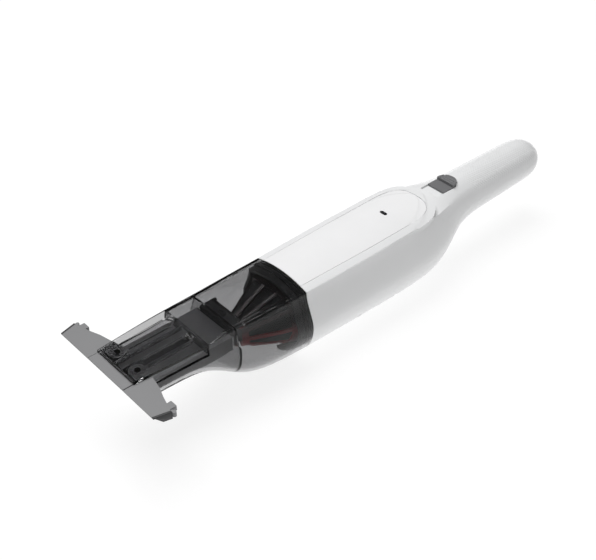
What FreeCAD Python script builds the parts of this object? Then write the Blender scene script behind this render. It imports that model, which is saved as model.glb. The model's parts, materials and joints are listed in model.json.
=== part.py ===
import FreeCAD, Part
import math
import os
from collections import namedtuple

# Handheld vacuum: a slim barrel with a handle behind it and a see-through dust bowl and nozzle in front.
# Millimetres. +Z is up and Z 0 is the surface it lies on. -Y is the nose, and Y 0 is halfway along.
# X 0 is the middle plane, and +X is the left hand of someone who holds it and looks along the nose.

# overall
LENGTH = 440.0               # nose to the end of the handle
DECK_RISE = 29.1             # height of the flat top edges over the axis of the fan and motor
SEAM_FROM_NOSE = 152.6       # nose to the joint between bowl and housing
BARREL_HALF = 36.2           # widest half width of the housing
BELLY = 1.9                  # gap from the rest plane to the lowest skin of the barrel
HANDLE_R = 19.4              # radius of the handle at its root
HANDLE_TIP_R = 18.2          # radius of the handle at the start of its round end
TIP_LENGTH = 22.0            # length of the round end of the handle
NOZZLE_HALF = 24.2           # half width of the nozzle
NOZZLE_DEPTH = 23.6          # height of the nozzle

# walls and gaps
HOUSING_WALL = 2.4
BOWL_WALL = 2.0
SLIDING_GAP = 0.3            # between faces that slide past each other
SEAT_GAP = 0.12              # between fixed pieces that sit in each other
RUNNING_GAP = 0.06           # radial clearance of a pin in its hole

# top panel
CROWN = 4.6                  # rise of the panel's middle over its edges
PANEL_REAR_FROM_SEAM = 146.0
PANEL_BORDER = 6.6           # rim of the housing around the panel
PANEL_THICK = 1.5
PANEL_GAP = 0.25
LENS_LONG = 6.6
LENS_SHORT = 3.2
LENS_FROM_REAR = 42.0

# wings
WING_PIN_X = 11.7
WING_PIN_FROM_NOSE = 17.5
WING_PIN_R = 2.2
WING_BOSS_R = 6.2
WING_THICK = 6.2
WING_WALL = 1.5
WING_SPAN_HALF = 53.9        # half span of the front edge
WING_TIP_HALF = 57.0         # half span at the back of the tip
WING_TIP_DEPTH = 12.6        # front to back at the tip
CAP_THICK = 1.7
LIP_HALF = 20.2
LIP_DEPTH = 9.0              # centre lip, front to back
PLATE_THICK = 1.8            # top plate of the nozzle
POCKET_HEIGHT = 7.0
POCKET_REAR_FROM_NOSE = 66.0
POCKET_SPINE_HALF = 4.9      # wall between the two wing pockets

# duct, flap
DUCT_HALF = 20.0
DUCT_WALL = 1.5
CHIN_FROM_NOSE = 89.5        # front wall of the dust bowl
FLAP_THICK = 1.4
FLAP_PIN_R = 1.0
FRAME_HALF = 17.0
FRAME_LONG = 11.0

# filter
COLLAR_LONG = 11.3           # black collar that the bowl slides over
COLLAR_STEP = 0.9            # gap behind the bowl's wall for the soft ring
COLLAR_WALL = 2.0
FILTER_GAP = 0.62            # between the collar and the filter's base
FILTER_LONG = 46.0
FILTER_WALL = 1.5
CLOTH_WALL = 1.0
RIB_COUNT = 10
RIB_WIDTH = 3.0
AIR_HOLE_R = 17.0
BULKHEAD_THICK = 2.8

# motor, fan
MOTOR_R = 17.9
MOTOR_LONG = 42.0
CAN_WALL = 1.4
MOUNT_LONG = 12.0
ARMATURE_R = 12.2
SHAFT_R = 1.6
FAN_R = 22.0
FAN_DEPTH = 9.0
BLADE_COUNT = 9
SHROUD_GAP = 1.0
SHROUD_WALL = 1.8

# battery
CELL_R = 9.2
CELL_LONG = 65.0
CELL_GAP = 0.6
TRAY_WALL = 1.6

# controls
SWITCH_HALF = 8.6
SWITCH_LONG = 20.0
PAD_LONG = 9.6               # ribbed pad at the switch's rear
SWITCH_TRAVEL = 7.0
SWITCH_RISE = 2.4
BUTTON_HALF = 17.0
BUTTON_LONG = 24.0
SPRING_R = 3.2
SPRING_WIRE_R = 0.4
SPRING_COILS = 5

CATCH_HALF = 6.0             # half width of the bowl's catch under the hook
CATCH_THICK = 1.8
CATCH_RISE = 2.6             # top of the catch over the inside of the belly

# feet, exhaust slots
FOOT_WIDE = 6.5
FOOT_LONG = 5.0
SLOT_LONG = 5.4
SLOT_HIGH = 1.9
SLOT_PITCH = 7.6
SLOTS_IN_ROW = 4

# fasteners, socket
SCREW_R = 1.5
SCREW_HEAD_R = 2.9
SCREW_HEAD_H = 2.0
POST_R = 3.6
SOCKET_R = 2.8
SOCKET_BODY_R = 4.6
SOCKET_LONG = 12.0
SOCKET_FLOOR = 2.0
LEAD_R = 0.8

# places that follow from the sizes above
NOSE = -LENGTH / 2
SEAM = NOSE + SEAM_FROM_NOSE
TAIL = LENGTH / 2
AXIS = BELLY + BARREL_HALF + 0.8
DECK = AXIS + DECK_RISE       # height of the flat top edge of the nozzle over the rest plane
PANEL_REAR = SEAM + PANEL_REAR_FROM_SEAM
TIP_START = TAIL - TIP_LENGTH
REAR_FOOT_Y = SEAM + 113
PIN_Y = NOSE + WING_PIN_FROM_NOSE
MOUTH_FRONT = NOSE + 1.2      # where the slanting mouth meets the lip's underside
LIP_REAR = NOSE + 1.0 + LIP_DEPTH
PLATE_UNDER = DECK - PLATE_THICK
POCKET_FLOOR = PLATE_UNDER - POCKET_HEIGHT
DUCT_TOP = POCKET_FLOOR - 0.2
DUCT_FLOOR = DECK - NOZZLE_DEPTH + BOWL_WALL + SEAT_GAP
CHIN = NOSE + CHIN_FROM_NOSE
FRAME_REAR = CHIN + FRAME_LONG
COLLAR_FRONT = SEAM - COLLAR_LONG
CATCH_TOP = BELLY + 1.5 + HOUSING_WALL + CATCH_RISE
BULKHEAD_REAR = SEAM + BULKHEAD_THICK

Station = namedtuple("Station", "y half crease_x crease_z top_z mid_z bottom_z square round")

HANDLE_INDEX = 10            # place of the tip's first section in the list of housing sections
TIP_FLAT = 0.33              # share of the tip's radius that stays flat round the socket
FLANK_STEPS = 8
BELLY_STEPS = 9
CROWN_STEPS = 8

ALONG_X = FreeCAD.Vector(1, 0, 0)
ALONG_Y = FreeCAD.Vector(0, 1, 0)
UP = FreeCAD.Vector(0, 0, 1)


def vec(x, y, z):
    return FreeCAD.Vector(x, y, z)


def box(x0, x1, y0, y1, z0, z1):
    return Part.makeBox(x1 - x0, y1 - y0, z1 - z0, vec(x0, y0, z0))


def rod(radius, length, start, axis):
    return Part.makeCylinder(radius, length, start, axis)


def tube(outer, inner, length, start, axis):
    return rod(outer, length, start, axis).cut(rod(inner, length, start, axis))


def joined(shapes):
    whole = shapes[0]
    for shape in shapes[1:]:
        whole = whole.fuse(shape)
    return whole


def fuse(shapes):
    return joined(shapes).removeSplitter()


def mirror(shape):
    return shape.mirror(vec(0, 0, 0), ALONG_X)


def both_sides(shape):
    return [shape, mirror(shape)]


def prism(points, z0, z1):
    """A flat outline of (x, y) points, raised from z0 to z1."""
    corners = [vec(x, y, z0) for x, y in points]
    face = Part.Face(Part.makePolygon(corners + corners[:1]))
    return face.extrude(vec(0, 0, z1 - z0))


def side_prism(points, half):
    """An outline of (y, z) points, as wide as half on both sides of the middle plane."""
    corners = [vec(-half, y, z) for y, z in points]
    face = Part.Face(Part.makePolygon(corners + corners[:1]))
    return face.extrude(vec(2 * half, 0, 0))


def export(name, shape):
    shape.exportStep(os.path.join("parts", name + ".step"))


# ---- the lofted skin of the bowl, the barrel and the handle ----

def flank_x(station, t):
    """Half width of the flank, from the top crease at t 0 to the widest height at t 1."""
    ease = t * t * (3 - 2 * t)
    hollow = station.crease_x + (station.half - station.crease_x) * ease
    rise = math.sqrt(max(0.0, 1 - (station.crease_x / station.half) ** 2))
    full = station.half * math.sqrt(max(0.0, 1 - (rise * (1 - t)) ** 2))
    return hollow + (full - hollow) * station.round


def flank_and_belly(station):
    """Points from the right crease down round the belly and up to the left crease."""
    right = []
    for step in range(FLANK_STEPS):
        t = step / FLANK_STEPS
        z = station.crease_z + (station.mid_z - station.crease_z) * t
        right.append((flank_x(station, t), z))
    power = 2 / station.square
    depth = station.mid_z - station.bottom_z
    for step in range(BELLY_STEPS):
        a = math.radians(90 * step / BELLY_STEPS)
        right.append((station.half * math.cos(a) ** power, station.mid_z - depth * math.sin(a) ** power))
    left = [(-x, z) for x, z in reversed(right)]
    return [vec(x, station.y, z) for x, z in right + [(0.0, station.bottom_z)] + left]


def crown(station):
    """Points over the top, from the left crease to the right one."""
    points = []
    for step in range(CROWN_STEPS + 1):
        across = 2 * step / CROWN_STEPS - 1
        z = station.crease_z + (station.top_z - station.crease_z) * (1 - across * across)
        points.append(vec(across * station.crease_x, station.y, z))
    return points


def clamped_knots(count, degree):
    """Evenly spaced knots, with the ends held to the first and last control point."""
    spans = count - degree
    return [float(step) for step in range(spans + 1)], [degree + 1] + [1] * (spans - 1) + [degree + 1]


def net_surface(rows):
    """A smooth surface that follows a net of control points and reaches its outer rows and columns."""
    along = min(3, len(rows) - 1)
    across = min(3, len(rows[0]) - 1)
    u_knots, u_mults = clamped_knots(len(rows), along)
    v_knots, v_mults = clamped_knots(len(rows[0]), across)
    surface = Part.BSplineSurface()
    surface.buildFromPolesMultsKnots(rows, u_mults, v_mults, u_knots, v_knots, False, False, along, across)
    return surface.toShape()


def end_face(skins, y):
    """The flat face that closes a skin at y."""
    edges = []
    for skin in skins:
        for edge in skin.Edges:
            if abs(edge.BoundBox.YMin - y) < 1e-6 and abs(edge.BoundBox.YMax - y) < 1e-6:
                edges.append(edge)
    return Part.Face(Part.Wire(Part.__sortEdges__(edges)))


def inset(station, wall):
    """The same section, one wall further in."""
    return station._replace(
        half=station.half - wall, crease_x=station.crease_x - wall, crease_z=station.crease_z - wall,
        top_z=station.top_z - wall, bottom_z=station.bottom_z + wall)


def scaled(station, share):
    """The same section, shrunk towards its own middle height."""
    mid = station.mid_z
    return station._replace(
        half=station.half * share, crease_x=station.crease_x * share,
        crease_z=mid + (station.crease_z - mid) * share, top_z=mid + (station.top_z - mid) * share,
        bottom_z=mid + (station.bottom_z - mid) * share)


def loft(stations):
    """A closed body whose skin follows the stations smoothly, with flat ends."""
    skins = [net_surface([outline(station) for station in stations]) for outline in (flank_and_belly, crown)]
    faces = skins + [end_face(skins, stations[0].y), end_face(skins, stations[-1].y)]
    shell = Part.Shell(faces)
    shell.sewShape()
    body = Part.Solid(shell)
    if body.Volume < 0:
        body.reverse()
    return body


def round_station(y, radius, centre_z):
    half_chord = radius * math.sqrt(0.5)
    return Station(y, radius, half_chord, centre_z + half_chord, centre_z + radius, centre_z,
                   centre_z - radius, 2.0, 1.0)


def seam_station():
    return Station(SEAM, BARREL_HALF - 1.0, 27.1, DECK, DECK + CROWN, AXIS, BELLY + 1.5, 2.0, 0.0)


def housing_stations(wall=0.0):
    """Sections of the housing's skin under the panel, from the seam to the end of the round tip."""
    seam = seam_station()
    handle_z = DECK - 14.4
    half = BARREL_HALF
    barrel = [
        seam._replace(top_z=DECK + 0.6),
        Station(SEAM + 42, half - 0.3, 28.2, DECK + 0.8, DECK + 1.4, AXIS, BELLY + 0.4, 2.0, 0.0),
        Station(SEAM + 92, half, 28.6, DECK + 1.8, DECK + 2.4, AXIS, BELLY, 2.0, 0.0),
        Station(SEAM + 116, half - 0.2, 27.8, DECK + 1.8, DECK + 2.6, AXIS + 0.5, BELLY, 2.0, 0.3),
        Station(SEAM + 134, half - 1.2, 25.6, DECK + 0.8, DECK + 2.8, AXIS + 2.0, BELLY + 1.4, 2.0, 0.6),
        Station(SEAM + 149, half - 4.4, 22.2, DECK - 0.4, DECK + 3.2, AXIS + 5.4, BELLY + 6.8, 2.0, 0.9),
        Station(SEAM + 162, half - 9.4, 18.6, DECK - 1.0, DECK + 3.9, AXIS + 9.4, BELLY + 16.0, 2.0, 1.0),
        Station(SEAM + 174, half - 14.0, 15.6, DECK - 1.2, DECK + 4.5, AXIS + 12.6, BELLY + 25.6, 2.0, 1.0),
        round_station(SEAM + 190, HANDLE_R + 0.3, handle_z - 0.4),
        round_station(SEAM + 214, HANDLE_R - 0.4, handle_z + 0.2),
        round_station(TIP_START, HANDLE_TIP_R, handle_z + 1.4),
    ]
    tip = []
    for degrees in (22, 42, 58, 68):
        a = math.radians(degrees)
        radius = wall + (HANDLE_TIP_R - wall) * math.cos(a)
        tip.append(round_station(TIP_START + (TIP_LENGTH - wall) * math.sin(a), radius, handle_z + 1.4))
    tip.append(round_station(TAIL - wall, wall + (HANDLE_TIP_R - wall) * TIP_FLAT, handle_z + 1.4))
    return [inset(station, wall) for station in barrel + tip]


def handle_station():
    """The section where the round tip starts."""
    return housing_stations()[HANDLE_INDEX]


def bowl_stations():
    """Sections of the bowl and nozzle, from the front edge of the nozzle's top plate to the seam."""
    floor = DECK - NOZZLE_DEPTH
    half = NOZZLE_HALF
    wide = BARREL_HALF
    return [
        Station(NOSE + 8, half - 1.2, 20.8, DECK, DECK + 0.1, DECK - 6, floor, 5.0, 0.2),
        Station(NOSE + 24, half, 22.2, DECK, DECK + 0.1, DECK - 6, floor, 5.0, 0.2),
        Station(NOSE + 50, half + 0.8, 24.2, DECK, DECK + 0.1, DECK - 6, floor, 4.6, 0.2),
        Station(NOSE + 65, half + 1.2, 24.6, DECK, DECK + 0.3, DECK - 8, floor - 4.6, 4.0, 0.1),
        Station(NOSE + 79, half + 3.2, 24.9, DECK, DECK + 0.9, DECK - 13, floor - 14.2, 3.2, 0.0),
        Station(NOSE + 96, wide - 4.6, 25.3, DECK, DECK + 2.0, AXIS + 7.1, BELLY + 13.5, 2.5, 0.0),
        Station(NOSE + 112, wide - 2.1, 25.9, DECK, DECK + 3.1, AXIS + 2.5, BELLY + 5.3, 2.1, 0.0),
        Station(NOSE + 130, wide - 1.2, 26.5, DECK, DECK + 4.0, AXIS + 0.7, BELLY + 2.3, 2.0, 0.0),
        seam_station(),
    ]


def opened(stations, front=0.0, rear=0.0):
    """The same stations, with the first and last run on past their ends to cut right through."""
    ends = list(stations)
    if front:
        ends.insert(0, ends[0]._replace(y=ends[0].y - front))
    if rear:
        ends.append(ends[-1]._replace(y=ends[-1].y + rear))
    return ends


def housing_skin():
    return loft(housing_stations())


def housing_hollow(wall):
    return loft(opened(housing_stations(wall), front=4))


def crown_block(drop, spread=0.0):
    """A block whose top is the crowned panel surface, lowered by drop."""
    blocks = []
    sections = ((SEAM, DECK, 27.1), (SEAM + 92, DECK + 1.8, 28.6), (PANEL_REAR + 6, DECK + 3.2, 28.6))
    for y, edge_z, half in sections:
        top = vec(0, y, edge_z + CROWN - drop)
        left = vec(-half - spread, y, edge_z + 0.15 - drop)
        right = vec(half + spread, y, edge_z + 0.15 - drop)
        low_left = vec(-half - spread, y, DECK - 12)
        low_right = vec(half + spread, y, DECK - 12)
        crown = Part.Arc(right, top, left).toShape()
        sides = Part.makePolygon([left, low_left, low_right, right])
        blocks.append(Part.Wire([crown] + sides.Edges))
    return Part.makeLoft(blocks, True, True)


def panel_outline(border, front=0.0):
    """Plan of the panel: near-straight sides and a broad round rear end, as (x, y) points."""
    rear = PANEL_REAR - border
    bend = SEAM + 108
    half = 28.4 - border
    right = [(27.0 - border, SEAM - front), (half, SEAM + 70)]
    for step in range(19):
        a = math.radians(90 * step / 18)
        x = half * math.cos(a) ** 0.62
        y = bend + (rear - bend) * math.sin(a) ** 0.62
        right.append((x, y))
    left = [(-x, y) for x, y in reversed(right[:-1])]
    return right + left


def panel_block(border, top_drop=0.0, front=0.0):
    """The crowned block inside the panel outline, flat below."""
    return crown_block(top_drop).common(prism(panel_outline(border, front), DECK - 14, DECK + 20))


def panel_slab(border, top_drop, depth, front=0.0):
    """The crowned slab inside the panel outline, from top_drop down to depth under the crown."""
    return panel_block(border, top_drop, front).cut(crown_block(depth, 2.0))


# ---- housing ----

def parting_block():
    """Everything under the joint line of the two housing shells."""
    low = AXIS
    high = handle_station().mid_z
    return side_prism([(SEAM - 30, -20), (SEAM - 30, low), (SEAM + 130, low), (SEAM + 178, high),
                       (TAIL + 30, high), (TAIL + 30, -20)], 80)


def lens_centre():
    return PANEL_REAR - LENS_FROM_REAR


def lens_shape(gap, z0, z1):
    """A short slot with round ends, set across the middle."""
    half = (LENS_LONG - LENS_SHORT) / 2
    radius = LENS_SHORT / 2 + gap
    y = lens_centre()
    ends = [rod(radius, z1 - z0, vec(x, y, z0), UP) for x in (-half, half)]
    return fuse(ends + [box(-half, half, y - radius, y + radius, z0, z1)])


def post_places():
    """Screw posts: (x, y, height of the screw head's seat)."""
    handle = handle_station()
    front_x = BARREL_HALF - 8.2
    rear_x = BARREL_HALF - 9.7
    places = []
    for side in (1, -1):
        places.append((side * front_x, SEAM + 52, BELLY + 22.1))
        places.append((side * rear_x, SEAM + 128, BELLY + 24.1))
    places.append((0.0, SEAM + 206, handle.bottom_z + 7))
    places.append((0.0, TIP_START - 18, handle.bottom_z + 8))
    return places


def parting_height(y):
    return AXIS if y < SEAM + 130 else handle_station().mid_z


def posts(skin):
    rods = [rod(POST_R, 2 * DECK, vec(x, y, -5), UP) for x, y, z in post_places()]
    return Part.makeCompound(rods).common(skin)


def screw_holes():
    """The counterbore under each seat, and the narrow hole above it."""
    holes = []
    for x, y, z in post_places():
        holes.append(rod(SCREW_HEAD_R + SEAT_GAP, z + 5, vec(x, y, -5), UP))
        holes.append(rod(SCREW_R + SEAT_GAP, parting_height(y) + 9 - z, vec(x, y, z), UP))
    return Part.makeCompound(holes)


def screw(x, y, z, length):
    head = rod(SCREW_HEAD_R, SCREW_HEAD_H, vec(x, y, z - SCREW_HEAD_H), UP)
    shank = rod(SCREW_R, length, vec(x, y, z), UP)
    cross = [box(x - 1.6, x + 1.6, y - 0.35, y + 0.35, z - SCREW_HEAD_H, z - SCREW_HEAD_H + 1),
             box(x - 0.35, x + 0.35, y - 1.6, y + 1.6, z - SCREW_HEAD_H, z - SCREW_HEAD_H + 1)]
    return fuse([head, shank]).cut(fuse(cross))


def housing_screws():
    return Part.makeCompound([screw(x, y, z, parting_height(y) + 8 - z) for x, y, z in post_places()])


def exhaust_slots():
    """Two staggered rows of short slots low on each flank."""
    cuts = []
    high = SLOT_HIGH / 2
    for row, angle in enumerate((-38, -46)):
        for index in range(SLOTS_IN_ROW):
            y = SEAM + 72 + SLOT_PITCH * (index + row / 2)
            slot = box(BARREL_HALF - 8, BARREL_HALF + 6, y, y + SLOT_LONG, AXIS - high, AXIS + high)
            slot.rotate(vec(0, y, AXIS), ALONG_Y, -angle)
            cuts += both_sides(slot)
    return Part.makeCompound(cuts)


def switch_seat():
    """Top of the flat floor of the switch's recess."""
    return DECK + 1.2


def switch_rear():
    return SEAM + 184


def switch_recess():
    """Recess in the root of the handle that the switch slides in."""
    rear = switch_rear() + 1.0
    front = rear - SWITCH_LONG - SWITCH_TRAVEL - 2.0
    half = SWITCH_HALF + SLIDING_GAP
    block = box(-half, half, front, rear - half, switch_seat(), DECK + 12)
    end = rod(half, 20, vec(0, rear - half, switch_seat()), UP)
    return fuse([block, end])


def switch_slot():
    """Slot in the recess floor for the switch's stem."""
    y = switch_rear() - SWITCH_LONG / 2
    return box(-2.3, 2.3, y - SWITCH_TRAVEL - 3, y + 3, switch_seat() - 12, switch_seat() + 1)


def button_front():
    return SEAM + 15.0


def button_window(gap):
    y = button_front()
    return box(-BUTTON_HALF - gap, BUTTON_HALF + gap, y - gap, y + BUTTON_LONG + gap, -5, AXIS - 20)


def finger_stop():
    """A low ridge under the root of the handle that the finger rests against."""
    handle = housing_stations()[HANDLE_INDEX - 2]
    return rod(4.2, 17, vec(-8.5, handle.y - 2, handle.bottom_z + 2.6), ALONG_X)


def rest_feet():
    """Four short pads on the barrel's underside, level with the rest plane."""
    front_x = 3.0
    rear_x = 7.0
    front = box(front_x, front_x + FOOT_WIDE, SEAM + 3, SEAM + 3 + FOOT_LONG, 0, BELLY + 4)
    rear = box(rear_x, rear_x + FOOT_WIDE, REAR_FOOT_Y, REAR_FOOT_Y + FOOT_LONG, 0, BELLY + 6)
    return both_sides(front) + both_sides(rear)


def socket_hole():
    z = handle_station().mid_z
    return rod(SOCKET_BODY_R + SEAT_GAP, 30, vec(0, TAIL - SOCKET_LONG, z), ALONG_Y)


def housing_shells():
    skin = housing_skin()
    hollow = housing_hollow(HOUSING_WALL)
    shell = skin.cut(hollow)
    solid = fuse([shell, posts(skin)])
    low = parting_block()
    feet = [foot.cut(hollow) for foot in rest_feet()]
    lower = fuse([solid.common(low), finger_stop().cut(hollow).common(low)] + feet)
    lower = lower.cut(exhaust_slots()).cut(button_window(SLIDING_GAP)).cut(screw_holes()).cut(socket_hole())
    upper = joined([solid.cut(low), panel_block(0.0).cut(hollow)] + board_posts())
    upper = upper.cut(panel_slab(PANEL_BORDER - PANEL_GAP, -2.0, PANEL_THICK, 1.0))
    floor_front = switch_rear() - SWITCH_LONG - SWITCH_TRAVEL - 8.0
    floor = box(-SWITCH_HALF - 2, SWITCH_HALF + 2, floor_front, switch_rear() + 3,
                switch_seat() - 2.2, switch_seat()).common(skin)
    upper = fuse([upper, floor]).cut(switch_recess()).cut(switch_slot()).cut(screw_holes()).cut(socket_hole())
    upper = upper.cut(lens_shape(SEAT_GAP, DECK - 10, DECK + 20))
    return upper, lower


def top_panel():
    return panel_slab(PANEL_BORDER, 0.0, PANEL_THICK).cut(lens_shape(SEAT_GAP, DECK - 10, DECK + 20))


def indicator_lens():
    """A dark lens flush with the panel, over the lamp on the board."""
    return lens_shape(0.0, DECK - 2, DECK + 20).common(crown_block(0.0))


# ---- what is fixed in the housing ----

def catch_slot():
    """Way for the bowl's catch through the collar and the bulkhead."""
    half = CATCH_HALF + 1
    return box(-half, half, COLLAR_FRONT - 1, BULKHEAD_REAR + 1, 0, CATCH_TOP + SLIDING_GAP + 3)


def front_bulkhead():
    """Black plate across the mouth of the housing, with the collar that the bowl slides over."""
    seam = seam_station()._replace(top_z=DECK + 0.6)
    plate_in = inset(seam, HOUSING_WALL + SEAT_GAP)
    plate = loft([plate_in, plate_in._replace(y=BULKHEAD_REAR)])
    bowl_in = inset(seam_station(), BOWL_WALL + SLIDING_GAP)
    collar_out = inset(bowl_in, COLLAR_STEP)
    collar_in = inset(collar_out, COLLAR_WALL)
    ring = loft([collar_out._replace(y=COLLAR_FRONT), collar_out]).cut(
        loft([collar_in._replace(y=COLLAR_FRONT), collar_in]))
    rim = loft([bowl_in._replace(y=SEAM - 1.2), bowl_in]).cut(
        loft([collar_in._replace(y=SEAM - 1.2), collar_in]))
    whole = fuse([plate.common(housing_hollow(HOUSING_WALL + SEAT_GAP)), ring, rim])
    air = rod(AIR_HOLE_R, 20, vec(0, SEAM - 4, AXIS), ALONG_Y)
    return whole.cut(air).cut(catch_slot())


def bowl_gasket():
    """Soft ring round the collar, just clear of the bowl's wall."""
    outer = inset(seam_station(), BOWL_WALL + SLIDING_GAP)
    inner = inset(outer, COLLAR_STEP)
    y0 = SEAM - 5.5
    ring = loft([outer._replace(y=y0), outer._replace(y=y0 + 2.5)]).cut(
        loft([inner._replace(y=y0), inner._replace(y=y0 + 2.5)]))
    return ring.cut(catch_slot())


def fan_front():
    return BULKHEAD_REAR + 3.6


def motor_front():
    return fan_front() + FAN_DEPTH + 4.4


def fan_shroud():
    """Cup round the fan, with the air eye in front and the motor's seat behind."""
    y0 = BULKHEAD_REAR
    outer = FAN_R + SHROUD_GAP + SHROUD_WALL
    y1 = motor_front()
    cup = rod(outer, y1 - y0, vec(0, y0, AXIS), ALONG_Y)
    room = rod(FAN_R + SHROUD_GAP, y1 - y0 - 2 * SHROUD_WALL, vec(0, y0 + SHROUD_WALL, AXIS), ALONG_Y)
    eye = rod(AIR_HOLE_R, 2 * SHROUD_WALL, vec(0, y0 - 1, AXIS), ALONG_Y)
    bore = rod(MOTOR_R - 5, 20, vec(0, y1 - 10, AXIS), ALONG_Y)
    vents = []
    for index in range(8):
        vent = box(MOTOR_R + 2.2, FAN_R - 1, y1 - 6, y1 + 1, AXIS - 3, AXIS + 3)
        vent.rotate(vec(0, 0, AXIS), ALONG_Y, 45 * index)
        vents.append(vent)
    return cup.cut(room).cut(eye).cut(bore).cut(Part.makeCompound(vents))


def motor_can():
    """Steel can, open behind, with the shaft's hole in front."""
    y0 = motor_front()
    can = rod(MOTOR_R, MOTOR_LONG, vec(0, y0, AXIS), ALONG_Y)
    room = rod(MOTOR_R - CAN_WALL, MOTOR_LONG, vec(0, y0 + CAN_WALL, AXIS), ALONG_Y)
    return can.cut(room).cut(rod(SHAFT_R + RUNNING_GAP, 10, vec(0, y0 - 1, AXIS), ALONG_Y))


def motor_magnets():
    """Two curved magnets in the can, above and below."""
    y0 = motor_front() + 6
    ring = tube(MOTOR_R - CAN_WALL, ARMATURE_R + 0.8, MOTOR_LONG - 14, vec(0, y0, AXIS), ALONG_Y)
    gap = box(-30, 30, y0 - 1, y0 + MOTOR_LONG, AXIS - 4, AXIS + 4)
    return ring.cut(gap)


def motor_armature():
    """Laminated core with its slots, and the commutator behind it."""
    y0 = motor_front() + 8
    core = rod(ARMATURE_R, MOTOR_LONG - 18, vec(0, y0, AXIS), ALONG_Y)
    slots = []
    for index in range(5):
        slot = box(5.0, ARMATURE_R + 1, y0 - 1, y0 + MOTOR_LONG, AXIS - 1.2, AXIS + 1.2)
        slot.rotate(vec(0, 0, AXIS), ALONG_Y, 72 * index)
        slots.append(slot)
    ring = rod(4.0, MOTOR_LONG - 12, vec(0, y0 - 2, AXIS), ALONG_Y)
    bore = rod(SHAFT_R, 2 * MOTOR_LONG, vec(0, y0 - 20, AXIS), ALONG_Y)
    return fuse([core.cut(Part.makeCompound(slots)), ring]).cut(bore)


def motor_end_bell():
    """Plastic cap of the motor with the rear bearing's hub and two terminals."""
    y0 = motor_front() + MOTOR_LONG
    plate = rod(MOTOR_R - 1.5, 3.5, vec(0, y0, AXIS), ALONG_Y)
    hub = rod(5.0, 5.5, vec(0, y0, AXIS), ALONG_Y)
    tabs = []
    for side in (-1, 1):
        z = AXIS + side * 10
        tabs.append(box(-2.2, 2.2, y0 + 3.5, y0 + 9, z - 0.4, z + 0.4))
    return fuse([plate, hub] + tabs)


def motor_mount():
    """Ring with four arms that holds the back of the motor in the barrel."""
    y1 = motor_front() + MOTOR_LONG
    ring = tube(MOTOR_R + 3.2, MOTOR_R + SEAT_GAP, MOUNT_LONG, vec(0, y1 - MOUNT_LONG, AXIS), ALONG_Y)
    arms = []
    for angle in (35, 145, 215, 325):
        arm = box(MOTOR_R + 1.5, BARREL_HALF, y1 - 5, y1, AXIS - 1.4, AXIS + 1.4)
        arm.rotate(vec(0, 0, AXIS), ALONG_Y, angle)
        arms.append(arm)
    whole = fuse([ring] + arms)
    return whole.common(housing_hollow(HOUSING_WALL + SEAT_GAP))


def motor_screws():
    """Two screws through the back wall of the fan cup into the motor's face."""
    screws = []
    for side in (-1, 1):
        x = side * 8.0
        y = motor_front()
        head = rod(2.2, 1.4, vec(x, y - SHROUD_WALL - 1.4, AXIS), ALONG_Y)
        screws.append(head)
    return Part.makeCompound(screws)


def fan_wheel():
    """Backplate, hub and curved blades."""
    y0 = fan_front()
    back = rod(FAN_R, 1.4, vec(0, y0 + FAN_DEPTH - 1.4, AXIS), ALONG_Y)
    hub = rod(5.0, FAN_DEPTH, vec(0, y0, AXIS), ALONG_Y)
    blades = []
    for index in range(BLADE_COUNT):
        ring = tube(15.0, 13.8, FAN_DEPTH - 1.0, vec(11.5, y0 + 1.0, AXIS + 8.4), ALONG_Y)
        keep = rod(FAN_R - 0.4, FAN_DEPTH, vec(0, y0, AXIS), ALONG_Y)
        half = box(-2, FAN_R, y0, y0 + FAN_DEPTH, AXIS - FAN_R, AXIS + 4)
        blade = ring.common(keep).common(half)
        blade.rotate(vec(0, 0, AXIS), ALONG_Y, 360 * index / BLADE_COUNT)
        blades.append(blade)
    whole = fuse([back, hub] + blades)
    return whole.cut(rod(SHAFT_R, 2 * FAN_DEPTH, vec(0, y0 - 1, AXIS), ALONG_Y))


def motor_shaft():
    y0 = fan_front() - 1.2
    return rod(SHAFT_R, motor_front() + MOTOR_LONG - 0.5 - y0, vec(0, y0, AXIS), ALONG_Y)


def battery_front():
    return motor_front() + MOTOR_LONG + 14


def battery_centres():
    """Three cells in a triangle, two below and one above."""
    reach = (2 * CELL_R + CELL_GAP) / math.sqrt(3)
    centre = AXIS + 1.0
    angles = [math.radians(degrees) for degrees in (0, 120, 240)]
    return [(reach * math.sin(a), centre + reach * math.cos(a)) for a in angles]


def battery_cells():
    y = battery_front()
    return Part.makeCompound([rod(CELL_R, CELL_LONG, vec(x, y, z), ALONG_Y) for x, z in battery_centres()])


def battery_tray():
    """Two end frames that hold the cells, joined by three bars."""
    y = battery_front()
    outer = CELL_R + TRAY_WALL
    frames = []
    for start in (y + 6, y + CELL_LONG - 12):
        rings = [rod(outer, 6, vec(x, start, z), ALONG_Y) for x, z in battery_centres()]
        frames.append(fuse(rings))
    bars = [box(-outer - 10.4, -outer - 8.2, y + 6, y + CELL_LONG - 6, AXIS - 6.5, AXIS - 1.5),
            box(outer + 8.2, outer + 10.4, y + 6, y + CELL_LONG - 6, AXIS - 6.5, AXIS - 1.5)]
    feet = [box(-9, 9, y + 8, y + CELL_LONG - 8, BELLY, AXIS - 14)]
    whole = fuse(frames + bars + feet)
    cells = [rod(CELL_R + SEAT_GAP, CELL_LONG + 4, vec(x, y - 2, z), ALONG_Y) for x, z in battery_centres()]
    return whole.cut(Part.makeCompound(cells)).common(housing_hollow(HOUSING_WALL + SEAT_GAP))


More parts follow.
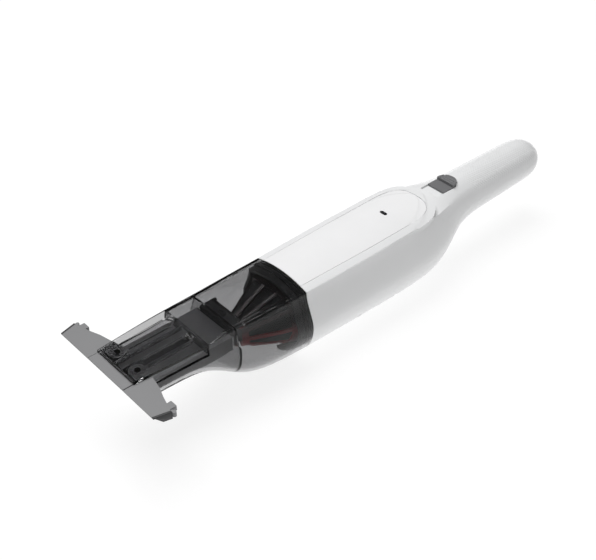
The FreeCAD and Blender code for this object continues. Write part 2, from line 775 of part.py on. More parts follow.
def cell_straps():
    """Nickel strips that join the cells in series."""
    y = battery_front()
    a, b, c = battery_centres()
    front = box(min(a[0], b[0]) - 2, max(a[0], b[0]) + 2, y - 0.5, y, a[1] - 10, a[1] - 5)
    rear = box(c[0] - 2, b[0] + 2, y + CELL_LONG, y + CELL_LONG + 0.5, b[1] - 3, b[1] + 3)
    return Part.makeCompound([front, rear])


def board_top():
    return DECK - 3.2


def circuit_board():
    """Charge and lamp board under the panel, with the lamp and a few components."""
    y = lens_centre()
    board = box(-12, 12, y - 22, y + 14, board_top() - 1.6, board_top())
    lamp = rod(1.4, 1.2, vec(0, y, board_top()), UP)
    chip = box(-4, 4, y - 16, y - 8, board_top(), board_top() + 1.0)
    coil = rod(3.0, 3.0, vec(7, y + 8, board_top() - 4.6), UP)
    return fuse([board, lamp, chip, coil])


def board_posts():
    """Two bars under the housing's roof that the board hangs from."""
    y = lens_centre()
    return both_sides(box(9.3, 11.7, y - 20, y + 12, board_top(), DECK + 2))


def switch_block():
    """Electrical slide switch under the recess floor."""
    y = switch_rear() - SWITCH_LONG / 2
    top = switch_seat() - 2.2 - 1.5
    body = box(-5.5, 5.5, y - SWITCH_TRAVEL - 6, y + 6, top - 9, top)
    slot = box(-2.8, 2.8, y - SWITCH_TRAVEL - 3.4, y + 3.4, top - 4.5, top + 1)
    legs = [box(-0.5, 0.5, y + at, y + at + 1.0, top - 12, top - 9) for at in (-10, -4, 2)]
    return fuse([body.cut(slot)] + legs)


def charge_socket():
    """Round charging socket in the end of the handle, closed in front."""
    z = handle_station().mid_z
    body = rod(SOCKET_BODY_R, SOCKET_LONG - 1.4, vec(0, TAIL - SOCKET_LONG, z), ALONG_Y)
    return body.cut(rod(SOCKET_R, SOCKET_LONG, vec(0, TAIL - SOCKET_LONG + SOCKET_FLOOR, z), ALONG_Y))


def lead(points, radius):
    """A wire along straight runs, with a ball at each bend."""
    pieces = []
    for start, end in zip(points, points[1:]):
        run = end.sub(start)
        pieces.append(rod(radius, run.Length, start, run))
    pieces += [Part.makeSphere(radius, point) for point in points[1:-1]]
    return fuse(pieces)


def power_leads():
    """Wires from the switch to the motor and from the socket to the switch."""
    y_switch = switch_rear() - 18
    z_switch = switch_seat() - 13.5
    y_motor = motor_front() + MOTOR_LONG + 7
    z_socket = handle_station().mid_z
    wires = []
    for side in (-1, 1):
        x = side * 16.5
        from_motor = [vec(side * 1.5, y_motor + 2.5, AXIS + side * 10 + 2), vec(x, y_motor + 4, AXIS + 14),
                      vec(x, SEAM + 128, AXIS + 20), vec(side * 3, y_switch - 4, z_switch)]
        from_socket = [vec(side * 3, TAIL - SOCKET_LONG - 0.5, z_socket),
                       vec(side * 6.5, TIP_START - 30, z_socket),
                       vec(side * 4, switch_rear() + 4, z_switch + 2)]
        wires += [lead(from_motor, LEAD_R), lead(from_socket, LEAD_R)]
    return Part.makeCompound(wires)


# ---- controls ----

def power_switch():
    """Thumb slide: a low plate in front, a ribbed pad behind, and a stem through the floor."""
    rear = switch_rear()
    half = SWITCH_HALF
    seat = switch_seat() + SLIDING_GAP
    front = rear - SWITCH_LONG
    plate = box(-half, half, front, rear - half, seat, seat + 1.6)
    pad_front = rear - PAD_LONG
    pad = box(-half, half, pad_front, rear - half + 0.5, seat, seat + 1.6 + SWITCH_RISE)
    end = rod(half, 1.6 + SWITCH_RISE, vec(0, rear - half, seat), UP)
    whole = fuse([plate, pad.fuse(end).common(box(-half, half, pad_front, rear, 0, 200))])
    for index in range(3):
        y = pad_front + 1.6 + 2.4 * index
        whole = whole.cut(rod(0.7, 2 * half - 4, vec(2 - half, y, seat + 1.6 + SWITCH_RISE + 0.2), ALONG_X))
    y_stem = rear - SWITCH_LONG / 2
    return fuse([whole, box(-2.0, 2.0, y_stem - 2.4, y_stem + 2.4, switch_seat() - 7.0, seat + 0.5)])


def bowl_release_button():
    """Curved plate flush with the belly, with a thumb hollow and an arm that ends in a hook."""
    y0 = button_front()
    plate = housing_skin().cut(housing_hollow(HOUSING_WALL)).common(button_window(0.0))
    hollow = Part.makeSphere(40, vec(0, y0 + BUTTON_LONG / 2, BELLY - 38.6))
    plate = plate.cut(hollow)
    rib_z = BELLY + HOUSING_WALL - 0.2
    root = box(-CATCH_HALF + 1, CATCH_HALF - 1, y0 + 0.5, y0 + 12, rib_z, CATCH_TOP + 2.8)
    arm = box(-CATCH_HALF + 1, CATCH_HALF - 1, SEAM + 5.0, y0 + 12, CATCH_TOP + 1.2, CATCH_TOP + 2.8)
    nose = side_prism([(SEAM + 5.0, CATCH_TOP + 1.2), (SEAM + 5.0, CATCH_TOP + SLIDING_GAP),
                       (SEAM + 8.0, CATCH_TOP + SLIDING_GAP), (SEAM + 9.5, CATCH_TOP + 1.2)], CATCH_HALF - 1)
    seat = rod(SPRING_R - 1.0, 3.0, vec(0, y0 + 17, BELLY + HOUSING_WALL - 0.2), UP)
    return fuse([plate, root, arm, nose, seat])


def spring_ceiling():
    return BELLY + HOUSING_WALL + 14.0


def release_spring():
    """Coil spring between the button and the fixed bracket over it."""
    base = BELLY + HOUSING_WALL + 1.2
    height = spring_ceiling() - base - 2 * SPRING_WIRE_R
    y = button_front() + 17
    helix = Part.makeHelix(height / SPRING_COILS, height, SPRING_R)
    helix.translate(vec(0, y, base + SPRING_WIRE_R))
    circle = Part.Wire([Part.makeCircle(SPRING_WIRE_R, vec(SPRING_R, y, base + SPRING_WIRE_R), ALONG_Y)])
    return Part.Wire(helix).makePipeShell([circle], True, True)


def spring_bracket():
    """Bridge over the button that the spring pushes against. It clips in the shell."""
    y = button_front() + 17
    plate = box(-22, 22, y - 4.5, y + 4.5, spring_ceiling(), spring_ceiling() + 1.6)
    stud = rod(SPRING_R - 1.0, 3.0, vec(0, y, spring_ceiling() - 3.0), UP)
    legs = both_sides(box(20.2, 22, y - 4.5, y + 4.5, 4, spring_ceiling() + 1))
    whole = fuse([plate, stud] + legs)
    return whole.common(housing_hollow(HOUSING_WALL + 0.02))


# ---- bowl and nozzle ----

def mouth_slant():
    """Everything in front of the mouth's slanting plane."""
    top = PLATE_UNDER - WING_WALL
    run = top - BELLY
    ahead = NOSE - 20
    return side_prism([(ahead, top), (MOUTH_FRONT, top), (MOUTH_FRONT + run, BELLY), (ahead, BELLY)], 90)


def bowl_hollow(wall):
    return loft(opened([inset(station, wall) for station in bowl_stations()], front=4, rear=4))


def wing_pockets():
    """Room for the folded wings, open at the sides and in front."""
    rear = NOSE + POCKET_REAR_FROM_NOSE
    pocket = box(POCKET_SPINE_HALF, NOZZLE_HALF + 12, NOSE - 2, rear, POCKET_FLOOR, PLATE_UNDER)
    return Part.makeCompound(both_sides(pocket))


def plate_marks():
    """Raised rings over the wing pins and the long slot outlines behind them."""
    rings = []
    grooves = []
    half = 4.7
    end = NOSE + POCKET_REAR_FROM_NOSE - 7.5
    for side in (-1, 1):
        x = side * WING_PIN_X
        rings.append(tube(5.8, 5.0, 0.8, vec(x, PIN_Y, DECK - 0.3), UP))
        rings.append(tube(3.4, 2.8, 0.6, vec(x, PIN_Y, DECK - 0.3), UP))
        outer = fuse([box(x - half, x + half, PIN_Y + 6.6, end, DECK - 0.6, DECK + 1),
                      rod(half, 1.6, vec(x, end, DECK - 0.6), UP)])
        inner = fuse([box(x - half + 0.7, x + half - 0.7, PIN_Y + 5.6, end, DECK - 0.7, DECK + 1.1),
                      rod(half - 0.7, 1.8, vec(x, end, DECK - 0.7), UP)])
        grooves.append(outer.cut(inner))
    return rings, grooves


def chin_wall():
    """Front wall of the dust bowl, below and round the duct."""
    wall = loft([inset(station, BOWL_WALL - 0.1) for station in bowl_stations()])
    wall = wall.common(box(-60, 60, CHIN, CHIN + 1.8, -5, DECK - 1))
    duct = box(-DUCT_HALF - SEAT_GAP, DUCT_HALF + SEAT_GAP, CHIN - 1, CHIN + 4,
               DUCT_FLOOR - SEAT_GAP, DUCT_TOP + SEAT_GAP)
    return wall.cut(duct)


def bowl_ridges():
    """Two fine ridges along each top edge of the bowl."""
    ridges = []
    for rib in (1.4, 4.2):
        ridge = []
        for station in bowl_stations()[4:]:
            x = station.crease_x - rib
            z = station.crease_z + (station.top_z - station.crease_z) * (1 - (x / station.crease_x) ** 2)
            corners = [(x - 0.4, z - 1.2), (x + 0.4, z - 1.2), (x + 0.25, z + 0.4), (x - 0.25, z + 0.4)]
            points = [vec(across, station.y, up) for across, up in corners]
            ridge.append(Part.makePolygon(points + points[:1]))
        ridges += both_sides(Part.makeLoft(ridge, True, True))
    return ridges


def dust_bowl():
    """Smoked shell: the dust bowl, the nozzle's top plate and sides, and the catch for the button."""
    shell = loft(bowl_stations()).cut(bowl_hollow(BOWL_WALL)).cut(wing_pockets())
    rear = NOSE + POCKET_REAR_FROM_NOSE
    back_half = NOZZLE_HALF - 1.5
    spine = box(-POCKET_SPINE_HALF, POCKET_SPINE_HALF, LIP_REAR + 0.4, rear, DUCT_TOP + 0.1, DECK - 1)
    back = box(-back_half, back_half, rear, rear + 1.6, DUCT_TOP + 0.1, DECK - 1)
    rings, grooves = plate_marks()
    tongue = box(-CATCH_HALF, CATCH_HALF, SEAM - 3, SEAM + 11.5, CATCH_TOP - CATCH_THICK, CATCH_TOP)
    bar = box(-CATCH_HALF, CATCH_HALF, SEAM - 4, SEAM - 0.4, BELLY + 3, CATCH_TOP)
    whole = fuse([shell, spine, back, chin_wall(), tongue, bar] + rings + bowl_ridges())
    trimmed = whole.cut(box(-80, 80, SEAM - SLIDING_GAP, SEAM + 20, CATCH_TOP + 0.01, 120))
    trimmed = trimmed.cut(box(-80, 80, SEAM - SLIDING_GAP, SEAM + 20, -5, CATCH_TOP - CATCH_THICK - 0.01))
    return trimmed.cut(Part.makeCompound(grooves)).cut(mouth_slant())


def nozzle_duct():
    """The suction duct: a flat tube from the mouth to the flap, with the centre lip over the mouth."""
    tube_out = box(-DUCT_HALF, DUCT_HALF, NOSE + 0.2, CHIN + 0.6, DUCT_FLOOR, DUCT_TOP)
    tube_in = box(-DUCT_HALF + DUCT_WALL, DUCT_HALF - DUCT_WALL, NOSE - 1, CHIN + 2,
                  DUCT_FLOOR + DUCT_WALL, DUCT_TOP - DUCT_WALL)
    lip = box(-LIP_HALF, LIP_HALF, NOSE + 0.2, LIP_REAR, DUCT_FLOOR, PLATE_UNDER - 0.1)
    lip_in = box(-LIP_HALF + DUCT_WALL, LIP_HALF - DUCT_WALL, NOSE - 1, LIP_REAR - DUCT_WALL,
                 DUCT_FLOOR + DUCT_WALL, PLATE_UNDER - 0.1 - DUCT_WALL)
    side = box(-LIP_HALF - 1, LIP_HALF + 1, NOSE - 1, LIP_REAR - DUCT_WALL,
               POCKET_FLOOR + 0.6, PLATE_UNDER - 0.1 - DUCT_WALL)
    shell = loft(bowl_stations()).cut(bowl_hollow(BOWL_WALL + SEAT_GAP))
    return fuse([tube_out, lip]).cut(tube_in).cut(lip_in).cut(side).cut(mouth_slant()).cut(shell)


def flap_hinge():
    return vec(0, FRAME_REAR + 1.9, DUCT_TOP + 1.4)


def flap_frame():
    """Dark outlet frame behind the duct, with two ears for the flap's pin."""
    z0 = DUCT_FLOOR + 0.2
    z1 = DUCT_TOP + 3.6
    frame = box(-FRAME_HALF, FRAME_HALF, CHIN + 1.9, FRAME_REAR, z0, z1)
    way = box(-FRAME_HALF + 2.6, FRAME_HALF - 2.6, CHIN, FRAME_REAR + 1, z0 + 1.6, DUCT_TOP - DUCT_WALL)
    hinge = flap_hinge()
    ears = []
    for x in (-FRAME_HALF, FRAME_HALF - 2.0):
        ears.append(box(x, x + 2.0, FRAME_REAR - 0.5, hinge.y + 2.2, hinge.z - 2.2, z1))
    boss = tube(3.6, 2.6, 1.0, vec(0, CHIN + 6.5, z1), UP)
    pip = rod(1.5, 0.8, vec(0, CHIN + 6.5, z1), UP)
    bore = rod(FLAP_PIN_R, 2 * FRAME_HALF + 4, vec(-FRAME_HALF - 2, hinge.y, hinge.z), ALONG_X)
    return fuse([frame.cut(way), boss, pip] + ears).cut(bore)


def flap_pin():
    hinge = flap_hinge()
    return rod(FLAP_PIN_R, 2 * FRAME_HALF, vec(-FRAME_HALF, hinge.y, hinge.z), ALONG_X)


def inlet_flap():
    """Flap that hangs over the outlet and swings into the bowl."""
    hinge = flap_hinge()
    half = FRAME_HALF - 2.0 - SLIDING_GAP
    y0 = FRAME_REAR + SLIDING_GAP
    sheet = box(-half, half, y0, y0 + FLAP_THICK, DUCT_FLOOR + 0.8, hinge.z)
    knuckle = rod(1.6, 2 * half, vec(-half, hinge.y, hinge.z), ALONG_X)
    bore = rod(FLAP_PIN_R + RUNNING_GAP, 2 * half + 2, vec(-half - 1, hinge.y, hinge.z), ALONG_X)
    return fuse([sheet, knuckle]).cut(bore)


def wing_pins():
    pin = rod(WING_PIN_R, PLATE_UNDER - DUCT_TOP, vec(WING_PIN_X, PIN_Y, DUCT_TOP), UP)
    return Part.makeCompound(both_sides(pin))


def wing_plan():
    """Plan of the blade on the +X side up to its end cap, as (x, y) points."""
    front = NOSE + 0.2
    return [(LIP_HALF + 0.6, front), (WING_SPAN_HALF - CAP_THICK, front - 0.1),
            (WING_TIP_HALF - CAP_THICK, NOSE + WING_TIP_DEPTH), (43.0, NOSE + 16.0), (34.6, NOSE + 19.1),
            (23.6, NOSE + 21.6), (WING_PIN_X, PIN_Y + WING_BOSS_R),
            (WING_PIN_X, PIN_Y - WING_BOSS_R), (LIP_HALF + 0.6, PIN_Y - WING_BOSS_R)]


def wing_levels():
    low = POCKET_FLOOR + (POCKET_HEIGHT - WING_THICK) / 2
    return low, low + WING_THICK


def wing_right():
    """Folding blade, open in front and below, with two small lugs at its tip and its pin's eye."""
    low, high = wing_levels()
    blade = prism(wing_plan(), low, high)
    eye = rod(WING_BOSS_R, WING_THICK, vec(WING_PIN_X, PIN_Y, low), UP)
    tip = WING_TIP_HALF
    rear = NOSE + WING_TIP_DEPTH
    lug = box(tip - 9.4, tip - 3.6, rear - 1, rear + 5.8, low + 1.2, high - 1.0)
    arm = box(tip - 4.5, tip - 0.4, rear + 0.3, rear + 2.2, low + 1.4, high - 1.6)
    peg = rod(1.5, WING_THICK - 2.4, vec(tip - 0.8, rear + 1.8, low + 1.0), UP)
    whole = fuse([blade, eye, lug, arm, peg])
    wall = WING_WALL
    inner_tip = tip - CAP_THICK - wall
    inside = [(LIP_HALF - 1, NOSE - 2), (inner_tip, NOSE - 2), (inner_tip, rear - wall),
              (43.0, NOSE + 16.0 - wall), (34.6, NOSE + 19.1 - wall), (25.6, NOSE + 18.4),
              (20.4, NOSE + 10.2), (LIP_HALF - 1, NOSE + 9.6)]
    channel = prism(inside, low - 1, high - wall)
    bore = rod(WING_PIN_R + RUNNING_GAP, 20, vec(WING_PIN_X, PIN_Y, low - 5), UP)
    return whole.cut(channel).cut(bore).cut(mouth_slant())


def wing_cap_right():
    """Dark end cap that closes the blade's tip."""
    low, high = wing_levels()
    rear = NOSE + WING_TIP_DEPTH
    cap = prism([(WING_SPAN_HALF - CAP_THICK, NOSE + 0.1), (WING_SPAN_HALF, NOSE),
                 (WING_TIP_HALF, rear), (WING_TIP_HALF - CAP_THICK, rear)], low, high)
    return cap.cut(mouth_slant())


# ---- filter ----

def filter_stations(shrink):
    """A cone in the bowl's own section, wide at the collar and small at its nose."""
    base = seam_station()._replace(top_z=DECK + 0.6)
    rear = SEAM - 0.4
    collar = BOWL_WALL + SLIDING_GAP + COLLAR_STEP + COLLAR_WALL
    base_share = 1 - (collar + FILTER_GAP) / DECK_RISE
    steps = ((0.0, base_share), (0.26, base_share - 0.04), (0.62, 0.52), (1.0, 0.27))
    return [inset(scaled(base, share), shrink)._replace(y=rear - FILTER_LONG * run) for run, share in steps]


def filter_cage():
    """Red cage: a base ring, ribs and a closed nose."""
    outer = loft(filter_stations(0.0))
    inner = loft(filter_stations(FILTER_WALL))
    inner.translate(vec(0, 0.01, 0))
    rear = SEAM - 0.4
    nose_y = rear - FILTER_LONG
    hollow = inner.common(box(-60, 60, nose_y + 2, rear + 1, -5, 120))
    cage = outer.cut(hollow)
    near = 4.0
    far = 2.0 * BARREL_HALF
    slope = math.tan(math.pi / RIB_COUNT)
    edge = RIB_WIDTH / 2
    corners = [(near, edge - near * slope), (far, edge - far * slope),
               (far, far * slope - edge), (near, near * slope - edge)]
    outline = [vec(x, nose_y + 5, AXIS + z) for x, z in corners]
    wedge = Part.Face(Part.makePolygon(outline + outline[:1])).extrude(vec(0, FILTER_LONG - 16, 0))
    windows = []
    for index in range(RIB_COUNT):
        window = wedge.copy()
        window.rotate(vec(0, 0, AXIS), ALONG_Y, 360 * (index + 0.5) / RIB_COUNT)
        windows.append(window)
    return cage.cut(Part.makeCompound(windows))


def filter_cloth():
    """Dark cloth cone inside the cage."""
    rear = SEAM - 0.4
    nose_y = rear - FILTER_LONG
    outer = loft(filter_stations(FILTER_WALL + 0.15)).common(box(-60, 60, nose_y + 2.2, rear, -5, 120))
    inner = loft(filter_stations(FILTER_WALL + 0.15 + CLOTH_WALL)).common(
        box(-60, 60, nose_y + 2.2 + CLOTH_WALL, rear + 1, -5, 120))
    return outer.cut(inner)


def main():
    os.makedirs("parts", exist_ok=True)
    upper, lower = housing_shells()
    nodes = {
        "upper_housing": upper,
        "lower_housing": lower,
        "top_panel": top_panel(),
        "indicator_lens": indicator_lens(),
        "front_bulkhead": front_bulkhead(),
        "bowl_gasket": bowl_gasket(),
        "fan_shroud": fan_shroud(),
        "motor_can": motor_can(),
        "motor_magnets": motor_magnets(),
        "motor_armature": motor_armature(),
        "motor_end_bell": motor_end_bell(),
        "motor_mount": motor_mount(),
        "motor_screws": motor_screws(),
        "battery_cells": battery_cells(),
        "battery_tray": battery_tray(),
        "cell_straps": cell_straps(),
        "circuit_board": circuit_board(),
        "switch_block": switch_block(),
        "charge_socket": charge_socket(),
        "power_leads": power_leads(),
        "housing_screws": housing_screws(),
        "spring_bracket": spring_bracket(),
        "fan_wheel": fan_wheel(),
        "motor_shaft": motor_shaft(),
        "power_switch": power_switch(),
        "bowl_release_button": bowl_release_button(),
        "release_spring": release_spring(),
        "dust_bowl": dust_bowl(),
        "nozzle_duct": nozzle_duct(),
        "flap_frame": flap_frame(),
        "flap_pin": flap_pin(),
        "inlet_flap": inlet_flap(),
        "wing_pins": wing_pins(),
        "wing_right": wing_right(),
        "wing_cap_right": wing_cap_right(),
        "wing_left": mirror(wing_right()),
        "wing_cap_left": mirror(wing_cap_right()),
        "filter_cage": filter_cage(),
        "filter_cloth": filter_cloth(),
    }
    for name, shape in nodes.items():
        export(name, shape)


if __name__ == "__main__":
    main()
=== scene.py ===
import json
import math

import bmesh
import bpy
import numpy as np
from bpy.props import FloatProperty, FloatVectorProperty, PointerProperty
from mathutils import Matrix, Vector

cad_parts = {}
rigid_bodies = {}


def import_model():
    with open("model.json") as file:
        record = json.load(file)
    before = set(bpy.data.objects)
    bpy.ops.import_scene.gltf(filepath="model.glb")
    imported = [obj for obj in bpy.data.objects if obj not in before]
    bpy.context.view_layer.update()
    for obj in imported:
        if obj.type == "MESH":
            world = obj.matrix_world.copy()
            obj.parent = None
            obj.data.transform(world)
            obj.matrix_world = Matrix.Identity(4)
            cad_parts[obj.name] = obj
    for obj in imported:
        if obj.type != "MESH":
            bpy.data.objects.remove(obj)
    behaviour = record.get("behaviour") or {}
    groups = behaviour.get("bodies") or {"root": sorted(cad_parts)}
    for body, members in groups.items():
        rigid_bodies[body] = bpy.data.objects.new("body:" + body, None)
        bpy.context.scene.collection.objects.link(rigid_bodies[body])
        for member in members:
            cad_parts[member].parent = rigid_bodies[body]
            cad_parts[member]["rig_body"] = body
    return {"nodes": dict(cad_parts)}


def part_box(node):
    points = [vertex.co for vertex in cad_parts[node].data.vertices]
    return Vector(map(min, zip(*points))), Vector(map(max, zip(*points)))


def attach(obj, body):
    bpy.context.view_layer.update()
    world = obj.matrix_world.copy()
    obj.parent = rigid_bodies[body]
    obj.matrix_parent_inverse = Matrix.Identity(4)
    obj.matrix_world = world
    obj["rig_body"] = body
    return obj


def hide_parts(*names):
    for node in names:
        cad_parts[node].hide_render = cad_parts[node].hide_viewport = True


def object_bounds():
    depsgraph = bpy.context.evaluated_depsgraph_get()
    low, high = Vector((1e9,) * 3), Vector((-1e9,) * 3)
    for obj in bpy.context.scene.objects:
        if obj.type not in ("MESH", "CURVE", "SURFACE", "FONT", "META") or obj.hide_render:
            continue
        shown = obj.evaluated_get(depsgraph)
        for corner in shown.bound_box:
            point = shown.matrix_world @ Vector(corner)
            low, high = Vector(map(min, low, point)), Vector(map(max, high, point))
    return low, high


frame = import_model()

bl_info = {
    "name": "Handheld vacuum",
    "version": (1, 0, 0),
    "blender": (4, 5, 0),
    "location": "3D View > Sidebar > Handheld Vacuum",
    "description": "Skins, small parts, finishes and studio for a slim cordless handheld vacuum",
    "category": "Add Mesh",
}

MM = 0.001
CAD_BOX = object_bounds()

# places read from the fixed frame, in metres
NOSE_Y = CAD_BOX[0][1]
TAIL_Y = CAD_BOX[1][1]
SEAM_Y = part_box("lower_housing")[0].y
DECK_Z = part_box("nozzle_duct")[1].z + 1.9 * MM
AXIS_Z = (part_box("fan_wheel")[0].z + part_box("fan_wheel")[1].z) / 2
BARREL_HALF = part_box("lower_housing")[1].x + 0.2 * MM

# the raised top and the panel in it
CROWN = 4.6 * MM
PANEL_BORDER = 6.6 * MM
PANEL_GAP = 0.25 * MM
PANEL_THICK = 1.5 * MM
PANEL_ROUND = 0.3 * MM
PANEL_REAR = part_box("top_panel")[1].y + PANEL_BORDER
CREASE_AT_SEAM = 27.1 * MM
OUTLINE_POWER = 0.62

# the handle and its tip
BELLY_Z = 1.9 * MM
HANDLE_Z = DECK_Z - 14.4 * MM
TIP_LIFT = 1.4 * MM
TIP_RADIUS = 18.2 * MM
TIP_LONG = 22 * MM

# the switch's recess
SWITCH_GAP = 0.3 * MM
RECESS_FLOOR_Z = DECK_Z + 1.2 * MM
RECESS_FLOOR_THICK = 2.2 * MM
RECESS_FLOOR_EDGE = 1.4 * MM
RECESS_AHEAD = 9.0 * MM
LENS_GAP = 0.1 * MM
THROUGH = 0.02
CREASE_DEGREES = 28

# Sections of the barrel and shoulders in millimetres: place past the seam, how far in from the widest half
# width, crease, crease height and top height over the deck, widest height over the fan's axis, belly over the
# barrel's belly, and how round the flank is, from 0 to 1.
BARREL_SECTIONS = (
    (0, 1.0, 27.1, 0, 0.6, 0, 1.5, 0),
    (42, 0.3, 28.2, 0.8, 1.4, 0, 0.4, 0),
    (92, 0, 28.6, 1.8, 2.4, 0, 0, 0),
    (116, 0.2, 27.8, 1.8, 2.6, 0.5, 0, 0.3),
    (134, 1.2, 25.6, 0.8, 2.8, 2.0, 1.4, 0.6),
    (149, 4.4, 22.2, -0.4, 3.2, 5.4, 6.8, 0.9),
    (162, 9.4, 18.6, -1.0, 3.9, 9.4, 16.0, 1),
    (174, 14.0, 15.6, -1.2, 4.5, 12.6, 25.6, 1),
)

# the studio, in metres and watts: name, place, size and power of each lamp
LAMPS = (("key", (-0.5, -0.1, 1.6), 1.5, 28.0), ("fill", (1.2, -0.6, 0.5), 0.5, 1.2))
LAMP_TARGET = Vector((0, 0, 0.04))
WORLD_STRENGTH = 0.14
FLOOR_HALF = 6
FLOOR_GREY = 0.2
FLOOR_GLOW = 0.85

# the camera: what it looks at, its direction in degrees, its distance and its lens
CAMERA_TARGET = Vector((12.1 * MM, NOSE_Y + 157.7 * MM, DECK_Z))
CAMERA_AZIMUTH = 48.43
CAMERA_ELEVATION = 38.57
CAMERA_DISTANCE = 0.7692
CAMERA_LENS = 64.43
CAMERA_SENSOR = 36.0


# ---- sizes and colours a user would change ----

class VacuumSizes(bpy.types.PropertyGroup):
    housing_wall: FloatProperty(
        name="Housing wall", description="Thickness of the white shells",
        default=2.2 * MM, min=0.5 * MM, unit="LENGTH")
    rim_round: FloatProperty(
        name="Rim rounding", description="Radius of the soft edge round the raised panel",
        default=0.5 * MM, min=0.1 * MM, unit="LENGTH")
    edge_round: FloatProperty(
        name="Edge rounding", description="Radius of the edges of small moulded parts",
        default=0.3 * MM, min=0.05 * MM, unit="LENGTH")


class VacuumColours(bpy.types.PropertyGroup):
    shell: FloatVectorProperty(
        name="Housing", description="White of the housing shells", subtype="COLOR",
        default=(0.86, 0.865, 0.87), min=0, max=1)
    panel: FloatVectorProperty(
        name="Panel", description="Brighter white of the top panel", subtype="COLOR",
        default=(0.93, 0.93, 0.935), min=0, max=1)
    smoke: FloatVectorProperty(
        name="Smoke", description="Tint of the see-through bowl", subtype="COLOR",
        default=(0.5, 0.5, 0.505), min=0, max=1)
    wings: FloatVectorProperty(
        name="Wings", description="Grey of the folding wings and the lip", subtype="COLOR",
        default=(0.22, 0.22, 0.225), min=0, max=1)
    cage: FloatVectorProperty(
        name="Filter cage", description="Deep red of the filter cage", subtype="COLOR",
        default=(0.24, 0.004, 0.009), min=0, max=1)
    switch: FloatVectorProperty(
        name="Switch", description="Grey of the thumb switch", subtype="COLOR",
        default=(0.16, 0.16, 0.165), min=0, max=1)


# ---- surfaces ----

def spline_basis(count, params, degree=3):
    """Weights of count control points at each parameter from 0 to 1, for an evenly knotted clamped spline.
    The Cox and de Boor rule: each degree blends two neighbours of the degree below by their distance in
    knots."""
    degree = min(degree, count - 1)
    spans = count - degree
    knots = np.concatenate([np.zeros(degree), np.arange(spans + 1), np.full(degree, spans)]).astype(float)
    x = np.clip(np.asarray(params, float) * spans, 0, spans - 1e-9)[:, None]
    basis = ((x >= knots[None, :-1]) & (x < knots[None, 1:])).astype(float)
    for step in range(1, degree + 1):
        low, high = knots[:-step - 1], knots[step + 1:]
        left_gap = knots[step:-1] - low
        right_gap = high - knots[1:-step]
        left = np.divide(x - low, left_gap, out=np.zeros((len(x), len(low))), where=left_gap > 0)
        right = np.divide(high - x, right_gap, out=np.zeros((len(x), len(low))), where=right_gap > 0)
        basis = left * basis[:, :-1] + right * basis[:, 1:]
    return basis


def net_points(net, rows, columns):
    """A smooth sheet that follows a control net: row weights times the net times column weights."""
    along = spline_basis(net.shape[0], rows)
    across = spline_basis(net.shape[1], columns)
    return np.einsum("ri,ijk,cj->rck", along, net, across)


def grid_mesh(name, points, closed=False):
    """A mesh of four-sided faces over a rows x columns array of points. A closed one joins its last column to
    its first and has one face over its first row and one over its last."""
    rows, columns = points.shape[:2]
    index = np.arange(rows * columns).reshape(rows, columns)
    caps = [index[0].tolist(), index[-1, ::-1].tolist()] if closed else []
    if closed:
        index = np.hstack([index, index[:, :1]])
    a, b, c, d = index[:-1, :-1], index[:-1, 1:], index[1:, 1:], index[1:, :-1]
    faces = np.stack([a, b, c, d], axis=-1).reshape(-1, 4)
    mesh = bpy.data.meshes.new(name)
    mesh.from_pydata(points.reshape(-1, 3).tolist(), [], faces.tolist() + caps)
    mesh.update()
    return mesh


def piece_from(name, mesh, material, body):
    """An object for a mesh, with its material and the body it moves with."""
    piece = bpy.data.objects.new(name, mesh)
    bpy.context.scene.collection.objects.link(piece)
    piece.data.materials.append(material)
    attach(piece, body)
    return piece


def tidy_mesh(mesh, merge=1e-6):
    """Merges doubles, drops faces with no area and turns every face outwards."""
    work = bmesh.new()
    work.from_mesh(mesh)
    bmesh.ops.remove_doubles(work, verts=work.verts, dist=merge)
    bmesh.ops.dissolve_degenerate(work, edges=work.edges, dist=merge)
    bmesh.ops.recalc_face_normals(work, faces=work.faces)
    work.to_mesh(mesh)
    work.free()


def smooth(piece, degrees):
    """Smooth shading, broken at sharp edges and on faces that lie square to the frame, which are flat."""
    mesh = piece.data
    mesh.shade_smooth()
    mesh.set_sharp_from_angle(angle=math.radians(degrees))
    normals = np.empty(len(mesh.polygons) * 3, dtype=np.float32)
    mesh.polygons.foreach_get("normal", normals)
    square = np.abs(normals.reshape(-1, 3)).max(axis=1) > 0.99995
    mesh.polygons.foreach_set("use_smooth", ~square)


def settle(piece):
    """Makes a piece's modifiers part of its mesh."""
    graph = bpy.context.evaluated_depsgraph_get()
    mesh = bpy.data.meshes.new_from_object(piece.evaluated_get(graph))
    old = piece.data
    piece.modifiers.clear()
    piece.data = mesh
    bpy.data.meshes.remove(old)


def thicken(piece, wall):
    """Gives an open surface a wall on its inner side."""
    modifier = piece.modifiers.new("Wall", "SOLIDIFY")
    modifier.thickness = wall
    modifier.offset = -1.0
    modifier.use_even_offset = True
    settle(piece)


def carve(piece, cutters, operation="DIFFERENCE"):
    """Cuts the cutters out of the piece, or joins them to it, then removes them."""
    for cutter in cutters:
        modifier = piece.modifiers.new("Cut", "BOOLEAN")
        modifier.operation = operation
        modifier.solver = "EXACT"
        modifier.object = cutter
    settle(piece)
    for cutter in cutters:
        bpy.data.objects.remove(cutter)


def helper(name, mesh):
    """A mesh object for cutting or joining, gone once it is used."""
    tool = bpy.data.objects.new(name, mesh)
    bpy.context.scene.collection.objects.link(tool)
    return tool


def placed_cutter(work, place):
    """A cutter from a working mesh moved by a matrix."""
    work.transform(place)
    mesh = bpy.data.meshes.new("cutter")
    work.to_mesh(mesh)
    work.free()
    return helper("cutter", mesh)


def block(low, high):
    """A cutter: a box between two corners."""
    work = bmesh.new()
    bmesh.ops.create_cube(work, size=1.0)
    low, high = Vector(low), Vector(high)
    return placed_cutter(work, Matrix.LocRotScale((low + high) / 2, None, high - low))


